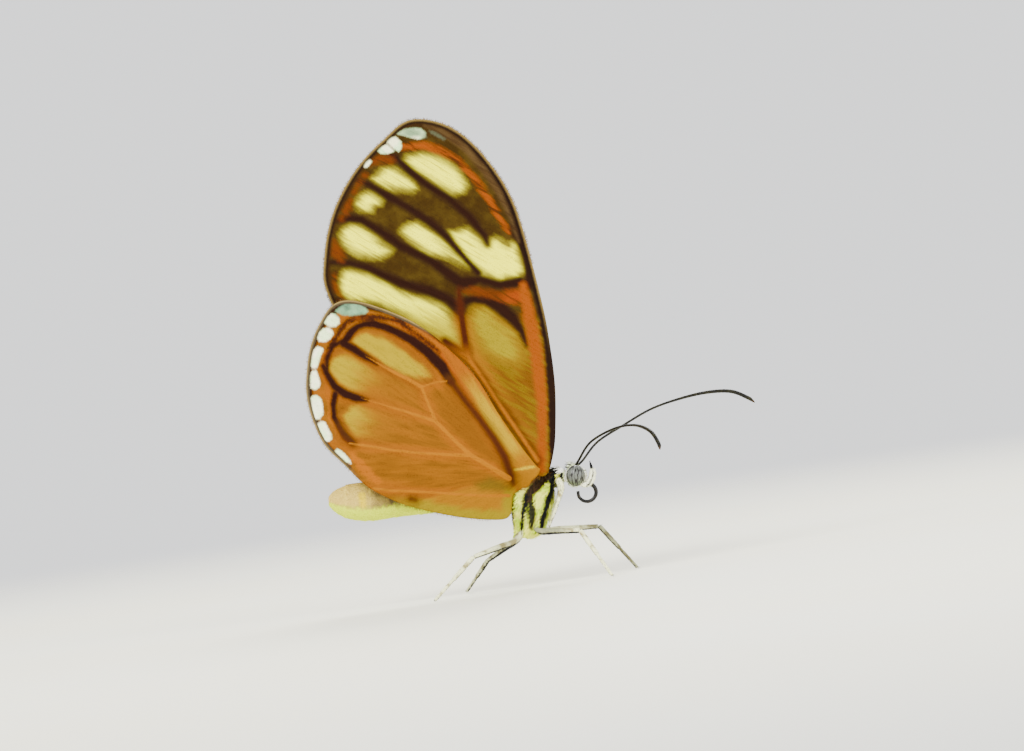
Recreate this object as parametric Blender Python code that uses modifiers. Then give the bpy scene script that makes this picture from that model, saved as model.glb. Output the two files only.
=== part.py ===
# Clearwing butterfly at rest, wings closed over the back, as a life-size still model.
# Everything is laid out in millimetres round the forewing hinge: +X is the head end,
# -Y the insect's right side, +Z up. The last section stands it on the floor in metres.
import math
import bpy
import bmesh
from mathutils import Matrix, Vector, geometry

for item in list(bpy.data.objects):
    bpy.data.objects.remove(item, do_unlink=True)

MM = 0.001
FOREWING_LENGTH = 30.0      # hinge to wing tip; every other size follows it
SIZE = FOREWING_LENGTH / 30.0
GAP = 0.3                   # air between neighbouring parts
HINGE_HEIGHT = 8.9          # forewing hinge above the floor
NOSE_DOWN = math.radians(8.2)
MEMBRANE = 0.5              # wing sheet
RIDGE = 0.1                 # main vein above the sheet, each face
VEIN_WIDTH = 0.56
FOREWING_PLANE = 0.5        # wing sheet from the body's middle plane, wing top
HINDWING_PLANE = 1.5
ROOT_SPLAY = 0.72           # how much farther out both wings stand at their roots
HINDWING_DIP = 1.1          # hindwing root bent inward to its seat behind the forewing's
FLAT = 0.82                 # body width over body depth
CENTRE_X = -0.15            # middle of the whole insect, feelers and feet included
CENTRE_Y = -3.35

parts = bpy.data.collections.new("heterosais_butterfly")
tools = bpy.data.collections.new("cutters")
bpy.context.scene.collection.children.link(parts)
bpy.context.scene.collection.children.link(tools)


def paint(name, colour, roughness):
    """One plain surface for the solids."""
    material = bpy.data.materials.new(name)
    material.use_nodes = True
    shader = material.node_tree.nodes["Principled BSDF"]
    shader.inputs["Base Color"].default_value = (*colour, 1.0)
    shader.inputs["Roughness"].default_value = roughness
    return material


MEMBRANE_PAINT = paint("wing_scales", (0.42, 0.20, 0.05), 0.6)
BODY_PAINT = paint("body_fur", (0.55, 0.50, 0.36), 0.8)
EYE_PAINT = paint("eye_glaze", (0.20, 0.20, 0.18), 0.25)
HORN_PAINT = paint("dark_horn", (0.05, 0.04, 0.03), 0.4)
LEG_PAINT = paint("leg_scales", (0.62, 0.60, 0.48), 0.6)


def smooth(stations, step, closed=False):
    """Points along a curve that runs through every station; all numbers are blended alike."""
    result = []
    count = len(stations)
    for i in range(count if closed else count - 1):
        if closed:
            a, b, c, d = (stations[(i + k) % count] for k in (-1, 0, 1, 2))
        else:
            b, c = stations[i], stations[i + 1]
            a = stations[i - 1] if i > 0 else [2 * p - q for p, q in zip(b, c)]
            d = stations[i + 2] if i + 2 < count else [2 * q - p for p, q in zip(b, c)]
        steps = max(1, round(math.dist(b[:3], c[:3]) / step))
        for k in range(steps):
            t = k / steps
            result.append([
                0.5 * (2 * q + (r - p) * t + (2 * p - 5 * q + 4 * r - s) * t * t
                       + (3 * q - p - 3 * r + s) * t ** 3)
                for p, q, r, s in zip(a, b, c, d)])
    if not closed:
        result.append(list(stations[-1]))
    return result


def put(name, mesh, material, collection=parts):
    """A mesh as a named part."""
    thing = bpy.data.objects.new(name, mesh)
    if material:
        mesh.materials.clear()
        mesh.materials.append(material)
    collection.objects.link(thing)
    return thing


def baked(thing):
    """The mesh that an object shows once its modifiers have worked."""
    bpy.context.view_layer.update()
    graph = bpy.context.evaluated_depsgraph_get()
    return bpy.data.meshes.new_from_object(thing.evaluated_get(graph))


def tube(name, stations, material, sides=16, step=0.8, flat=1.0):
    """A turned, bent form through stations (x, y, z, radius); flat squeezes it across."""
    curve = bpy.data.curves.new(name, "CURVE")
    curve.dimensions = "3D"
    curve.bevel_depth = 1.0
    curve.bevel_resolution = (sides - 4) // 2
    curve.use_fill_caps = True
    spline = curve.splines.new("POLY")
    points = smooth(stations, step)
    spline.points.add(len(points) - 1)
    for point, (x, y, z, radius) in zip(spline.points, points):
        point.co = (x * SIZE, y * SIZE, z * SIZE, 1.0)
        point.radius = radius * SIZE
    rig = bpy.data.objects.new(name, curve)
    bpy.context.scene.collection.objects.link(rig)
    mesh = baked(rig)
    bpy.data.objects.remove(rig, do_unlink=True)
    mesh.transform(Matrix.Diagonal((1.0, flat, 1.0, 1.0)))
    form = bmesh.new()
    form.from_mesh(mesh)
    bmesh.ops.remove_doubles(form, verts=form.verts, dist=0.0001)
    bmesh.ops.recalc_face_normals(form, faces=form.faces)
    form.to_mesh(mesh)
    form.free()
    return put(name, mesh, material)


def ball(name, centre, radii, material, from_y=None):
    """An ellipsoid, cut flat toward the middle plane where from_y is given."""
    form = bmesh.new()
    bmesh.ops.create_uvsphere(form, u_segments=20, v_segments=12, radius=1.0)
    side = 1.0 if centre[1] >= 0 else -1.0
    bmesh.ops.scale(form, vec=[r * SIZE for r in radii], verts=form.verts)
    bmesh.ops.translate(form, vec=[c * SIZE for c in centre], verts=form.verts)
    if from_y is not None:
        bmesh.ops.bisect_plane(
            form, geom=form.verts[:] + form.edges[:] + form.faces[:], dist=0.001,
            plane_co=(0, side * from_y * SIZE, 0), plane_no=(0, side, 0), clear_inner=True)
        bmesh.ops.holes_fill(form, edges=form.edges[:])
    bmesh.ops.recalc_face_normals(form, faces=form.faces)
    mesh = bpy.data.meshes.new(name)
    form.to_mesh(mesh)
    form.free()
    return put(name, mesh, material)


def grown(thing, amount=GAP):
    """A cutter: the part swollen by the gap."""
    form = bmesh.new()
    form.from_mesh(thing.data)
    form.normal_update()
    moved = [v.co + v.normal * amount for v in form.verts]
    for vert, place in zip(form.verts, moved):
        vert.co = place
    mesh = bpy.data.meshes.new(thing.name + "_room")
    form.to_mesh(mesh)
    form.free()
    cutter = put(mesh.name, mesh, None, tools)
    cutter.hide_render = True
    cutter.display_type = "WIRE"
    return cutter


def keep_largest(mesh):
    """Leaves the largest closed surface and drops crumbs of a cut."""
    form = bmesh.new()
    form.from_mesh(mesh)
    bmesh.ops.remove_doubles(form, verts=form.verts, dist=0.001)
    bmesh.ops.dissolve_degenerate(form, dist=0.001, edges=form.edges[:])
    left = set(form.verts)
    shells = []
    while left:
        stack = [left.pop()]
        shell = set(stack)
        while stack:
            vert = stack.pop()
            for edge in vert.link_edges:
                other = edge.other_vert(vert)
                if other in left:
                    left.discard(other)
                    shell.add(other)
                    stack.append(other)
        shells.append(shell)
    biggest = max(shells, key=len)
    for shell in shells:
        if shell is not biggest:
            bmesh.ops.delete(form, geom=list(shell), context="VERTS")
    form.to_mesh(mesh)
    form.free()


def cut(thing, cutters):
    """Takes room for the neighbours out of a part."""
    for cutter in cutters:
        work = thing.modifiers.new("room", "BOOLEAN")
        work.operation = "DIFFERENCE"
        work.solver = "EXACT"
        work.object = cutter
    mesh = baked(thing)
    thing.modifiers.clear()
    keep_largest(mesh)
    thing.data = mesh


# Wings. Outlines and veins are points (forward, up) from the hinge; the curve runs through them.
FOREWING_OUTLINE = [
    (0.3, -0.1), (0.8, 1.7), (0.95, 3.8), (0.9, 7.0), (0.5, 10.2), (-0.1, 13.4),
    (-1.6, 19.2), (-2.7, 22.2), (-4.2, 24.6), (-6.0, 26.6), (-7.8, 27.8), (-9.8, 28.3),
    (-11.4, 28.0), (-13.0, 26.6), (-14.5, 25.1), (-15.8, 23.3), (-16.9, 21.1),
    (-17.5, 19.0), (-17.75, 17.0), (-17.8, 15.4), (-17.4, 14.0), (-16.6, 12.5),
    (-15.0, 11.0), (-11.6, 8.5), (-7.6, 5.0), (-3.6, 1.9), (-1.4, 0.1), (-0.5, -0.4)]
HINDWING_OUTLINE = [
    (-0.6, 0.6), (-1.8, 2.1), (-3.6, 4.7), (-5.4, 7.6), (-7.6, 9.9), (-10.0, 11.8),
    (-12.8, 13.1), (-15.4, 13.8), (-17.0, 13.4), (-18.1, 11.8), (-18.8, 10.0),
    (-19.1, 8.0), (-19.1, 6.1), (-18.6, 4.1), (-17.6, 2.1), (-16.0, 0.5), (-14.2, -1.2),
    (-11.9, -2.4), (-9.6, -3.1), (-6.8, -3.6), (-4.4, -3.6), (-3.2, -3.1),
    (-2.9, -2.0), (-2.4, -0.9), (-1.4, -0.5), (-0.6, -0.1)]
FOREWING_VEINS = {
    "subcosta": [(0.2, 0.6), (0.4, 3.4), (0.3, 6.2), (-0.1, 9.8), (-0.7, 13.4), (-1.9, 19.0)],
    "radius": [(-0.2, 0.6), (-0.5, 5.8), (-0.9, 9.0), (-2.0, 14.6), (-3.0, 18.3),
               (-4.4, 21.0), (-6.0, 23.5), (-7.8, 25.4), (-11.0, 27.8)],
    "cubitus": [(-0.5, 0.6), (-2.4, 3.4), (-4.2, 6.2), (-6.1, 9.1), (-6.6, 11.8),
                (-7.0, 13.5), (-6.9, 14.6)],
    "cell_end": [(-6.9, 14.6), (-4.7, 14.4), (-2.0, 14.6)],
    "media_1": [(-3.3, 14.4), (-3.2, 16.8), (-4.5, 18.4), (-6.4, 21.0), (-9.2, 23.0),
                (-13.7, 25.8)],
    "media_2": [(-4.7, 14.4), (-6.6, 17.4), (-8.8, 19.6), (-12.0, 21.4), (-15.9, 23.1)],
    "media_3": [(-6.9, 14.6), (-8.4, 16.6), (-11.6, 18.5), (-14.0, 20.2), (-17.2, 20.6)],
    "cubital_1": [(-7.0, 13.5), (-10.0, 14.7), (-13.2, 16.0), (-17.7, 16.8)],
    "cubital_2": [(-6.1, 9.1), (-8.8, 10.6), (-12.4, 12.2), (-17.4, 14.2)],
    "anal": [(-0.9, 0.2), (-3.6, 2.7), (-7.6, 5.9), (-11.6, 9.4), (-15.8, 12.4)]}
HINDWING_VEINS = {
    "subcosta": [(-1.0, 0.5), (-3.6, 4.0), (-5.6, 7.0), (-8.0, 9.6), (-11.2, 11.6), (-16.6, 13.0)],
    "radius": [(-1.9, -0.1), (-3.8, 1.9), (-6.0, 5.3), (-7.7, 7.3), (-8.4, 8.7),
               (-10.4, 10.4), (-12.8, 11.9), (-17.6, 12.3)],
    "media_1": [(-7.7, 7.3), (-8.7, 7.5), (-10.0, 9.2), (-12.4, 10.9), (-18.6, 10.6)],
    "media_2": [(-9.9, 6.7), (-12.4, 8.2), (-15.6, 9.4), (-19.0, 9.2)],
    "media_3": [(-8.7, 4.1), (-11.6, 4.9), (-14.8, 5.8), (-19.0, 6.5)],
    "cubital_1": [(-6.2, 1.4), (-9.2, 1.5), (-13.2, 2.0), (-17.8, 2.5)],
    "cubitus": [(-2.2, -0.6), (-4.4, 0.5), (-6.2, 1.4), (-8.7, 4.1), (-9.9, 6.7)],
    "cell_end": [(-9.9, 6.7), (-8.8, 7.0), (-7.7, 7.3)],
    "anal": [(-2.6, -1.5), (-6.0, -1.8), (-10.0, -1.5), (-14.0, -1.2)]}


def nearest(point, lines):
    """Distance from a point to the nearest of some drawn lines."""
    best = 99.0
    for line in lines:
        for a, b in zip(line, line[1:]):
            run = b - a
            along = max(0.0, min(1.0, (point - a).dot(run) / run.length_squared))
            best = min(best, (point - a - run * along).length)
    return best


def inside(point, outline):
    """Whether a point lies within a closed outline."""
    odd = False
    for a, b in zip(outline, outline[1:] + outline[:1]):
        if (a.y > point.y) != (b.y > point.y):
            if point.x < a.x + (point.y - a.y) / (b.y - a.y) * (b.x - a.x):
                odd = not odd
    return odd


def stand_off(plane, x, z):
    """How far a wing's sheet lies from the middle plane: splayed at the root, faintly waved."""
    root = ROOT_SPLAY * math.exp(-(max(0.0, z - 0.3) / 4.2) ** 2)
    if plane == HINDWING_PLANE:
        root -= HINDWING_DIP * math.exp(-((x + 2.1) ** 2 + (z + 1.5) ** 2) / 1.5)
    return plane + root + 0.09 * (1.0 + math.sin(0.45 * x + 0.3 * z)) * min(1.0, max(0.0, z) / 6.0)


def wing(name, outline_points, veins, plane, side):
    """A sheet of triangles between outline and veins, thickened on both faces alike."""
    outline = [Vector(p) for p in smooth(outline_points, 1.15, closed=True)]
    rim = outline + outline[:1]
    coords = list(outline)
    edges = [(i, (i + 1) % len(outline)) for i in range(len(outline))]
    lines = []
    for stations in veins.values():
        line = [Vector(p) for p in smooth(stations, 1.0)]
        line = [p for p in line if inside(p, outline) and nearest(p, [rim]) > 0.3]
        lines.append(line)
    first = len(coords)
    for line in lines:
        last = None
        for point in line:
            near = [i for i in range(first, len(coords)) if (coords[i] - point).length < 0.35]
            index = near[0] if near else len(coords)
            if not near:
                coords.append(point)
            if last is not None and last != index:
                edges.append((last, index))
            last = index
    for line in lines:
        for a, b in zip(line, line[1:]):
            across = Vector((a.y - b.y, b.x - a.x)).normalized() * VEIN_WIDTH / 2
            for point in (a + across, a - across):
                clear = nearest(point, lines) > VEIN_WIDTH * 0.42
                apart = all((other - point).length > 0.22 for other in coords)
                if clear and apart and inside(point, outline) and nearest(point, [rim]) > 0.25:
                    coords.append(point)
    for i in range(-11, 2):
        for k in range(-3, 18):
            point = Vector((i * 1.8, k * 1.8))
            if inside(point, outline) and nearest(point, lines + [rim]) > 0.8:
                coords.append(point)
    verts, _, faces, _, _, _ = geometry.delaunay_2d_cdt(
        coords, edges, [list(range(len(outline)))], 1, 0.001)
    mesh = bpy.data.meshes.new(name)
    mesh.from_pydata(
        [(v.x * SIZE, side * stand_off(plane, v.x, v.y) * SIZE, v.y * SIZE) for v in verts],
        [], [list(f) for f in faces])
    sheet = put(name, mesh, MEMBRANE_PAINT)
    group = sheet.vertex_groups.new(name="thickness")
    full = MEMBRANE + 2 * RIDGE
    for i, v in enumerate(verts):
        rise = max(0.0, 1.0 - nearest(v, lines) / (VEIN_WIDTH / 2))
        group.add([i], (MEMBRANE + 2 * RIDGE * rise) / full, "REPLACE")
    thick = sheet.modifiers.new("sheet", "SOLIDIFY")
    thick.thickness = full
    thick.offset = 0.0
    thick.vertex_group = "thickness"
    sheet.data = baked(sheet)
    sheet.modifiers.clear()
    form = bmesh.new()
    form.from_mesh(sheet.data)
    bmesh.ops.recalc_face_normals(form, faces=form.faces)
    form.to_mesh(sheet.data)
    form.free()
    return sheet


# Thorax: deep and short, front and back edges closing toward the leg bases.
thorax = tube("thorax", [
    (-1.05, 0, 0.45, 0.35), (-1.05, 0, 0.1, 1.1), (-1.0, 0, -0.7, 1.62),
    (-0.95, 0, -1.8, 1.85), (-1.05, 0, -3.0, 1.7), (-1.2, 0, -4.2, 1.38),
    (-1.35, 0, -5.0, 0.95), (-1.4, 0, -5.3, 0.5)], BODY_PAINT, 24, 0.5, FLAT)
thorax_room = grown(thorax)

# Head between two half-round eyes, and the narrow collar behind it.
head = ball("head", (2.42, 0, -0.24), (0.75, 0.85, 0.96), BODY_PAINT)
head_room = grown(head, 0.27)
eye_rooms = []
for word, side in (("right", -1), ("left", 1)):
    eye = ball("eye_" + word, (2.44, side * 0.58, -0.28), (0.70, 0.73, 0.87), EYE_PAINT, 0.61)
    eye_rooms.append(grown(eye, 0.36))
cut(head, eye_rooms)
collar = tube("prothorax", [
    (0.2, 0, -0.5, 0.7), (0.7, 0, -0.4, 0.82), (1.2, 0, -0.32, 0.72), (1.8, 0, -0.28, 0.45)],
    BODY_PAINT, 16, 0.4, 0.95)
cut(collar, [thorax_room, head_room] + eye_rooms)
collar_room = grown(collar, 0.34)

# Abdomen: a slender club of eight rings with a step at each ring's edge.
AXIS = [(-2.3, 0, -1.5, 0.85), (-3.6, 0, -1.55, 1.05), (-6.0, 0, -1.7, 1.25),
        (-9.2, 0, -1.95, 1.4), (-11.9, 0, -2.15, 1.5), (-14.0, 0, -2.35, 1.62),
        (-15.6, 0, -2.35, 1.45), (-16.7, 0, -2.3, 0.98), (-17.35, 0, -2.3, 0.4)]
RING = 1.95
rings = []
for x, y, z, radius in smooth(AXIS, 0.65):
    place = ((-x - 2.3) / RING) % 1.0
    rings.append((x, y, z, radius * (0.95 if place < 0.2 else 1.0)))
abdomen = tube("abdomen", rings, BODY_PAINT, 20, 9.0, 0.78)
cut(abdomen, [thorax_room])

# Wings, left one the right one's mirror image; both cut back to clear the body.
for word, side in (("right", -1), ("left", 1)):
    fore = wing("forewing_" + word, FOREWING_OUTLINE, FOREWING_VEINS, FOREWING_PLANE, side)
    hind = wing("hindwing_" + word, HINDWING_OUTLINE, HINDWING_VEINS, HINDWING_PLANE, side)
    cut(fore, [thorax_room, collar_room])
    cut(hind, [thorax_room])

# Upturned palps, the coiled tongue and the feelers.
for word, side in (("right", -1), ("left", 1)):
    palp = tube("palp_" + word, [
        (2.7, side * 0.5, -0.9, 0.22), (3.3, side * 0.78, -1.0, 0.26),
        (3.72, side * 0.7, -0.5, 0.28), (3.8, side * 0.46, 0.1, 0.27),
        (3.68, side * 0.44, 0.6, 0.2), (3.56, side * 0.43, 0.95, 0.1)],
        LEG_PAINT, 10, 0.35)
    cut(palp, [head_room] + eye_rooms)
TONGUE_COIL = 0.72
tongue = []
for k in range(9):
    turn = math.radians(100 - 36 * k)
    tongue.append((3.36 + TONGUE_COIL * math.cos(turn), 0,
                   -1.62 + TONGUE_COIL * math.sin(turn), 0.22 - 0.006 * k))
proboscis = tube("proboscis", [(2.6, 0, -0.5, 0.22), (3.0, 0, -0.9, 0.22)] + tongue,
                 HORN_PAINT, 10, 0.3)
cut(proboscis, [head_room])
antenna_right = tube("antenna_right", [
    (2.3, -0.25, 0.3, 0.25), (2.7, -0.55, 0.85, 0.25), (3.7, -1.9, 2.4, 0.25),
    (5.5, -4.3, 3.5, 0.25), (7.2, -7.2, 3.75, 0.25), (8.5, -9.9, 3.2, 0.27),
    (9.1, -11.2, 2.3, 0.27), (9.2, -11.8, 1.8, 0.18)], HORN_PAINT, 8, 0.9)
antenna_left = tube("antenna_left", [
    (2.3, 0.25, 0.3, 0.25), (2.9, 0.5, 0.96, 0.25), (4.1, 1.0, 2.5, 0.25),
    (6.25, 1.8, 3.8, 0.25), (8.5, 2.6, 5.0, 0.25), (10.7, 3.3, 5.8, 0.25),
    (13.0, 3.9, 6.35, 0.25), (15.0, 4.3, 6.45, 0.27), (16.4, 4.5, 5.95, 0.27),
    (17.0, 4.6, 5.55, 0.18)], HORN_PAINT, 8, 0.9)
cut(antenna_right, [head_room] + eye_rooms)
cut(antenna_left, [head_room] + eye_rooms)


# Nose down on level ground, hinge at its height, middle of the insect's box on the axis.
STAND = (Matrix.Translation((-CENTRE_X, -CENTRE_Y, HINGE_HEIGHT))
         @ Matrix.Rotation(NOSE_DOWN, 4, "Y"))
ground = bmesh.new()
bmesh.ops.create_cube(ground, size=60.0)
bmesh.ops.translate(ground, vec=(0, 0, -30.0), verts=ground.verts)
bmesh.ops.transform(ground, matrix=STAND.inverted(), verts=ground.verts)
floor_mesh = bpy.data.meshes.new("floor_room")
ground.to_mesh(floor_mesh)
ground.free()
floor_room = put("floor_room", floor_mesh, None, tools)
floor_room.hide_render = True
floor_room.display_type = "WIRE"


def floor_point(x, y, z=0.0):
    """A place over the floor, told from the hinge's foot, in the insect's own axes."""
    return tuple(STAND.inverted() @ Vector((x - CENTRE_X, y - CENTRE_Y, z)))


def leg(name, hip, joints, foot):
    """Hip inside the thorax's side, thigh, shin and toe down to the floor."""
    sole = floor_point(*foot)
    below = floor_point(*foot, -0.3)
    toe = [a + (b - a) * 0.55 for a, b in zip(joints[-1], sole)]
    stations = [(*hip, 0.42), (*joints[0], 0.4)]
    stations += [(*p, 0.3) for p in joints[1:]]
    stations += [(*toe, 0.26), (*sole, 0.25), (*below, 0.25)]
    limb = tube(name, stations, LEG_PAINT, 10, 1.0)
    cut(limb, [thorax_room, floor_room])
    return limb


# Walking legs reach the floor; the front pair is small and folded against the breast.
leg("midleg_right", (-0.9, -0.6, -4.2), [(-0.3, -1.1, -4.7), (2.8, -2.7, -4.6)], (4.08, -4.2))
leg("midleg_left", (-0.9, 0.6, -4.2), [(-0.3, 1.1, -4.7), (4.4, 2.4, -4.4)], (6.3, 4.2))
leg("hindleg_right", (-1.8, -0.5, -4.6), [(-2.4, -1.0, -5.5), (-5.7, -2.6, -6.7)], (-10.1, -3.4))
leg("hindleg_left", (-1.8, 0.5, -4.6), [(-2.3, 1.1, -5.5), (-4.6, 3.1, -7.2)], (-7.6, 5.0))
for word, side in (("right", -1), ("left", 1)):
    small = tube("foreleg_" + word, [
        (1.0, side * 0.5, -0.55, 0.3), (1.3, side * 0.68, -1.15, 0.32),
        (1.15, side * 0.86, -2.1, 0.3), (0.86, side * 1.0, -3.1, 0.25),
        (0.66, side * 1.02, -3.75, 0.16)], LEG_PAINT, 10, 0.6)
    cut(small, [collar_room, thorax_room])

# Standing: the whole insect goes onto the floor, in metres.
for thing in list(parts.objects) + list(tools.objects):
    thing.data.transform(Matrix.Scale(MM, 4) @ STAND)
for thing in parts.objects:
    thing.data.shade_smooth()
    thing.data.set_sharp_from_angle(angle=math.radians(40))
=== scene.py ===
import math
import bpy
import bmesh
import numpy as np
from mathutils import Matrix, Vector, geometry


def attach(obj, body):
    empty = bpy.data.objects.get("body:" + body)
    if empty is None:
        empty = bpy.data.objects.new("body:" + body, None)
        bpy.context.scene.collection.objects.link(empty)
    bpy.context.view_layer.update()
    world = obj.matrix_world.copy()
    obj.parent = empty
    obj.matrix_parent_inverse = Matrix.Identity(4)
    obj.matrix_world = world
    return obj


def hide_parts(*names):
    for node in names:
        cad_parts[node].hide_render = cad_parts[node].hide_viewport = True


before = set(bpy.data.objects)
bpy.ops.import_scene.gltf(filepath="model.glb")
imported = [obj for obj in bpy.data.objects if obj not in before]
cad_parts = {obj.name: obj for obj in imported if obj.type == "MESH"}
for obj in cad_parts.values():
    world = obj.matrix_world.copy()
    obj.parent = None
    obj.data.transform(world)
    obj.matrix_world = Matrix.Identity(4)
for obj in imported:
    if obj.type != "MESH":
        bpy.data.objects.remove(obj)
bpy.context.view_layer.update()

# Body skin: one soft shell over thorax, collar, head and abdomen, horn under short scales.
# It is laid out in millimetres round the forewing hinge, head toward +X, right side toward -Y,
# and stands nose down by the slope that the insect's own feet give it on level ground.
HINGE_HEIGHT = 8.9
NOSE_DOWN = math.radians(8.2)
STAND = (Matrix.Scale(0.001, 4) @ Matrix.Translation((0.15, 3.35, HINGE_HEIGHT))
         @ Matrix.Rotation(NOSE_DOWN, 4, "Y"))
SKIN_GRAIN = 0.085          # voxel of the shell


def through(stations, step, closed=False):
    """Points on a curve through every station; place and width are blended alike."""
    result = []
    count = len(stations)
    for i in range(count if closed else count - 1):
        if closed:
            a, b, c, d = (stations[(i + k) % count] for k in (-1, 0, 1, 2))
        else:
            b, c = stations[i], stations[i + 1]
            a = stations[i - 1] if i else [2 * p - q for p, q in zip(b, c)]
            d = stations[i + 2] if i + 2 < count else [2 * q - p for p, q in zip(b, c)]
        span = 2 if len(b) < 4 else 3
        steps = max(1, round(math.dist(b[:span], c[:span]) / step))
        for k in range(steps):
            t = k / steps
            result.append([
                0.5 * (2 * q + (r - p) * t + (2 * p - 5 * q + 4 * r - s) * t * t
                       + (3 * q - p - 3 * r + s) * t ** 3)
                for p, q, r, s in zip(a, b, c, d)])
    if not closed:
        result.append(list(stations[-1]))
    return result


def settled(thing):
    """The plain mesh that an object shows once its modifiers have worked; the object goes."""
    bpy.context.view_layer.update()
    graph = bpy.context.evaluated_depsgraph_get()
    mesh = bpy.data.meshes.new_from_object(thing.evaluated_get(graph))
    bpy.data.objects.remove(thing, do_unlink=True)
    return mesh


def shown(name, data):
    """A mesh, curve, lamp or camera put into the scene as an object."""
    thing = bpy.data.objects.new(name, data)
    bpy.context.scene.collection.objects.link(thing)
    return thing


def meshed(form, name):
    """A bmesh kept as a plain mesh; the bmesh goes."""
    mesh = bpy.data.meshes.new(name)
    form.to_mesh(mesh)
    form.free()
    return mesh


def mended(mesh):
    """Joins the points that coincide and turns all faces outward."""
    form = bmesh.new()
    form.from_mesh(mesh)
    bmesh.ops.remove_doubles(form, verts=form.verts, dist=0.0001)
    bmesh.ops.recalc_face_normals(form, faces=form.faces)
    form.to_mesh(mesh)
    form.free()
    return mesh


def limb_mesh(stations, sides, step=0.2, flat=1.0, rough=True):
    """A round bent form through (x, y, z, radius), ends closed; flat squeezes it across.

    Rough stations are blended into a curve first, others are taken as they are.
    """
    curve = bpy.data.curves.new("limb", "CURVE")
    curve.dimensions = "3D"
    curve.bevel_depth = 1.0
    curve.bevel_resolution = (sides - 4) // 2
    curve.use_fill_caps = True
    spline = curve.splines.new("POLY")
    points = through(stations, step) if rough else stations
    spline.points.add(len(points) - 1)
    for point, (x, y, z, radius) in zip(spline.points, points):
        point.co = (x, y, z, 1.0)
        point.radius = radius
    mesh = settled(shown("limb", curve))
    mesh.transform(Matrix.Diagonal((1.0, flat, 1.0, 1.0)))
    return mended(mesh)


def ball_mesh(centre, radii, segments=32, rings=20):
    """An ellipsoid."""
    form = bmesh.new()
    bmesh.ops.create_uvsphere(form, u_segments=segments, v_segments=rings, radius=1.0)
    bmesh.ops.transform(form, matrix=Matrix.Translation(centre) @ Matrix.Diagonal((*radii, 1.0)),
                        verts=form.verts)
    return meshed(form, "ball")


def joined(meshes):
    """Several meshes as one."""
    form = bmesh.new()
    for mesh in meshes:
        form.from_mesh(mesh)
    return meshed(form, "joined")


thorax_form = limb_mesh([
    (-1.05, 0, 0.36, 0.3), (-1.05, 0, 0.05, 1.02), (-1.0, 0, -0.7, 1.5), (-0.95, 0, -1.8, 1.72),
    (-1.05, 0, -3.0, 1.56), (-1.2, 0, -4.2, 1.22), (-1.35, 0, -4.9, 0.8), (-1.4, 0, -5.15, 0.4)],
    32, 0.2, 0.8)
PLATES = [
    [(0.25, 0.75, -0.9, 0.3), (0.2, 0.98, -1.7, 0.42), (0.0, 1.02, -2.8, 0.42),
     (-0.3, 0.9, -3.9, 0.36), (-0.55, 0.72, -4.75, 0.24)],
    [(-0.75, 1.0, -2.2, 0.3), (-0.95, 1.06, -3.2, 0.36), (-1.25, 0.85, -4.3, 0.32),
     (-1.5, 0.6, -5.0, 0.24)],
    [(-2.0, 0.8, -1.5, 0.3), (-2.15, 0.88, -2.4, 0.38), (-2.1, 0.8, -3.5, 0.36),
     (-2.05, 0.62, -4.6, 0.3), (-2.15, 0.55, -5.15, 0.22)]]
plates = [limb_mesh([(x, side * y, z, radius) for x, y, z, radius in plate], 16)
          for plate in PLATES for side in (-1, 1)]
collar_form = limb_mesh([(0.2, 0, -0.5, 0.62), (0.7, 0, -0.4, 0.74), (1.2, 0, -0.3, 0.62),
                         (1.9, 0, -0.26, 0.4)], 24, 0.2, 0.95)
nape_plates = [ball_mesh((1.2, side * 0.4, 0.12), (0.3, 0.24, 0.27)) for side in (-1, 1)]
head_form = ball_mesh((2.4, 0, -0.26), (0.7, 0.72, 0.9))
brow_form = ball_mesh((2.95, 0, -0.28), (0.42, 0.52, 0.66))
crown_tuft = ball_mesh((2.2, 0, 0.42), (0.5, 0.42, 0.26))
AXIS = [(-1.6, 0, -1.5, 0.7), (-2.3, 0, -1.5, 0.8), (-3.6, 0, -1.55, 0.98), (-6.0, 0, -1.7, 1.18),
        (-9.2, 0, -1.95, 1.33), (-11.9, 0, -2.15, 1.43), (-14.0, 0, -2.35, 1.54),
        (-15.6, 0, -2.35, 1.38), (-16.7, 0, -2.3, 0.9), (-17.28, 0, -2.3, 0.36)]
RING = 1.95                 # length of an abdomen ring
RING_START = -2.3           # where the first ring begins, near the thorax
ringed = []
for x, y, z, radius in through(AXIS, 0.13):
    part_way = ((RING_START - x) / RING) % 1.0
    step_up = 0.05 * math.exp(-((part_way - 0.97) / 0.06) ** 2)
    ringed.append((x, y, z, radius + 0.02 + step_up - 0.06 * math.exp(-(part_way / 0.07) ** 2)))
abdomen_form = limb_mesh(ringed, 40, 1.0, 0.78, rough=False)
shell = shown("shell", joined([thorax_form, *plates, collar_form, *nape_plates, head_form,
                               brow_form, crown_tuft, abdomen_form]))
remesh = shell.modifiers.new("one skin", "REMESH")
remesh.mode = "VOXEL"
remesh.voxel_size = SKIN_GRAIN
soften = shell.modifiers.new("soften", "SMOOTH")
soften.factor = 0.5
soften.iterations = 3
body_mesh = settled(shell)


def way_to(points, line):
    """Signed distance in millimetres from flat points to a stroke (x, z, half width)."""
    best = np.full(len(points), 99.0)
    for a, b in zip(line, line[1:]):
        start, run = np.array(a[:2]), np.array(b[:2]) - np.array(a[:2])
        along = np.clip(((points - start) @ run) / max(1e-9, run @ run), 0.0, 1.0)
        width = a[2] + (b[2] - a[2]) * along
        gap = np.linalg.norm(points - start - along[:, None] * run, axis=1) - width
        best = np.minimum(best, gap)
    return best


def strokes(points, lines):
    """Signed distance to the nearest of several strokes, negative inside."""
    return np.min([way_to(points, line) for line in lines], axis=0)


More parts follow.
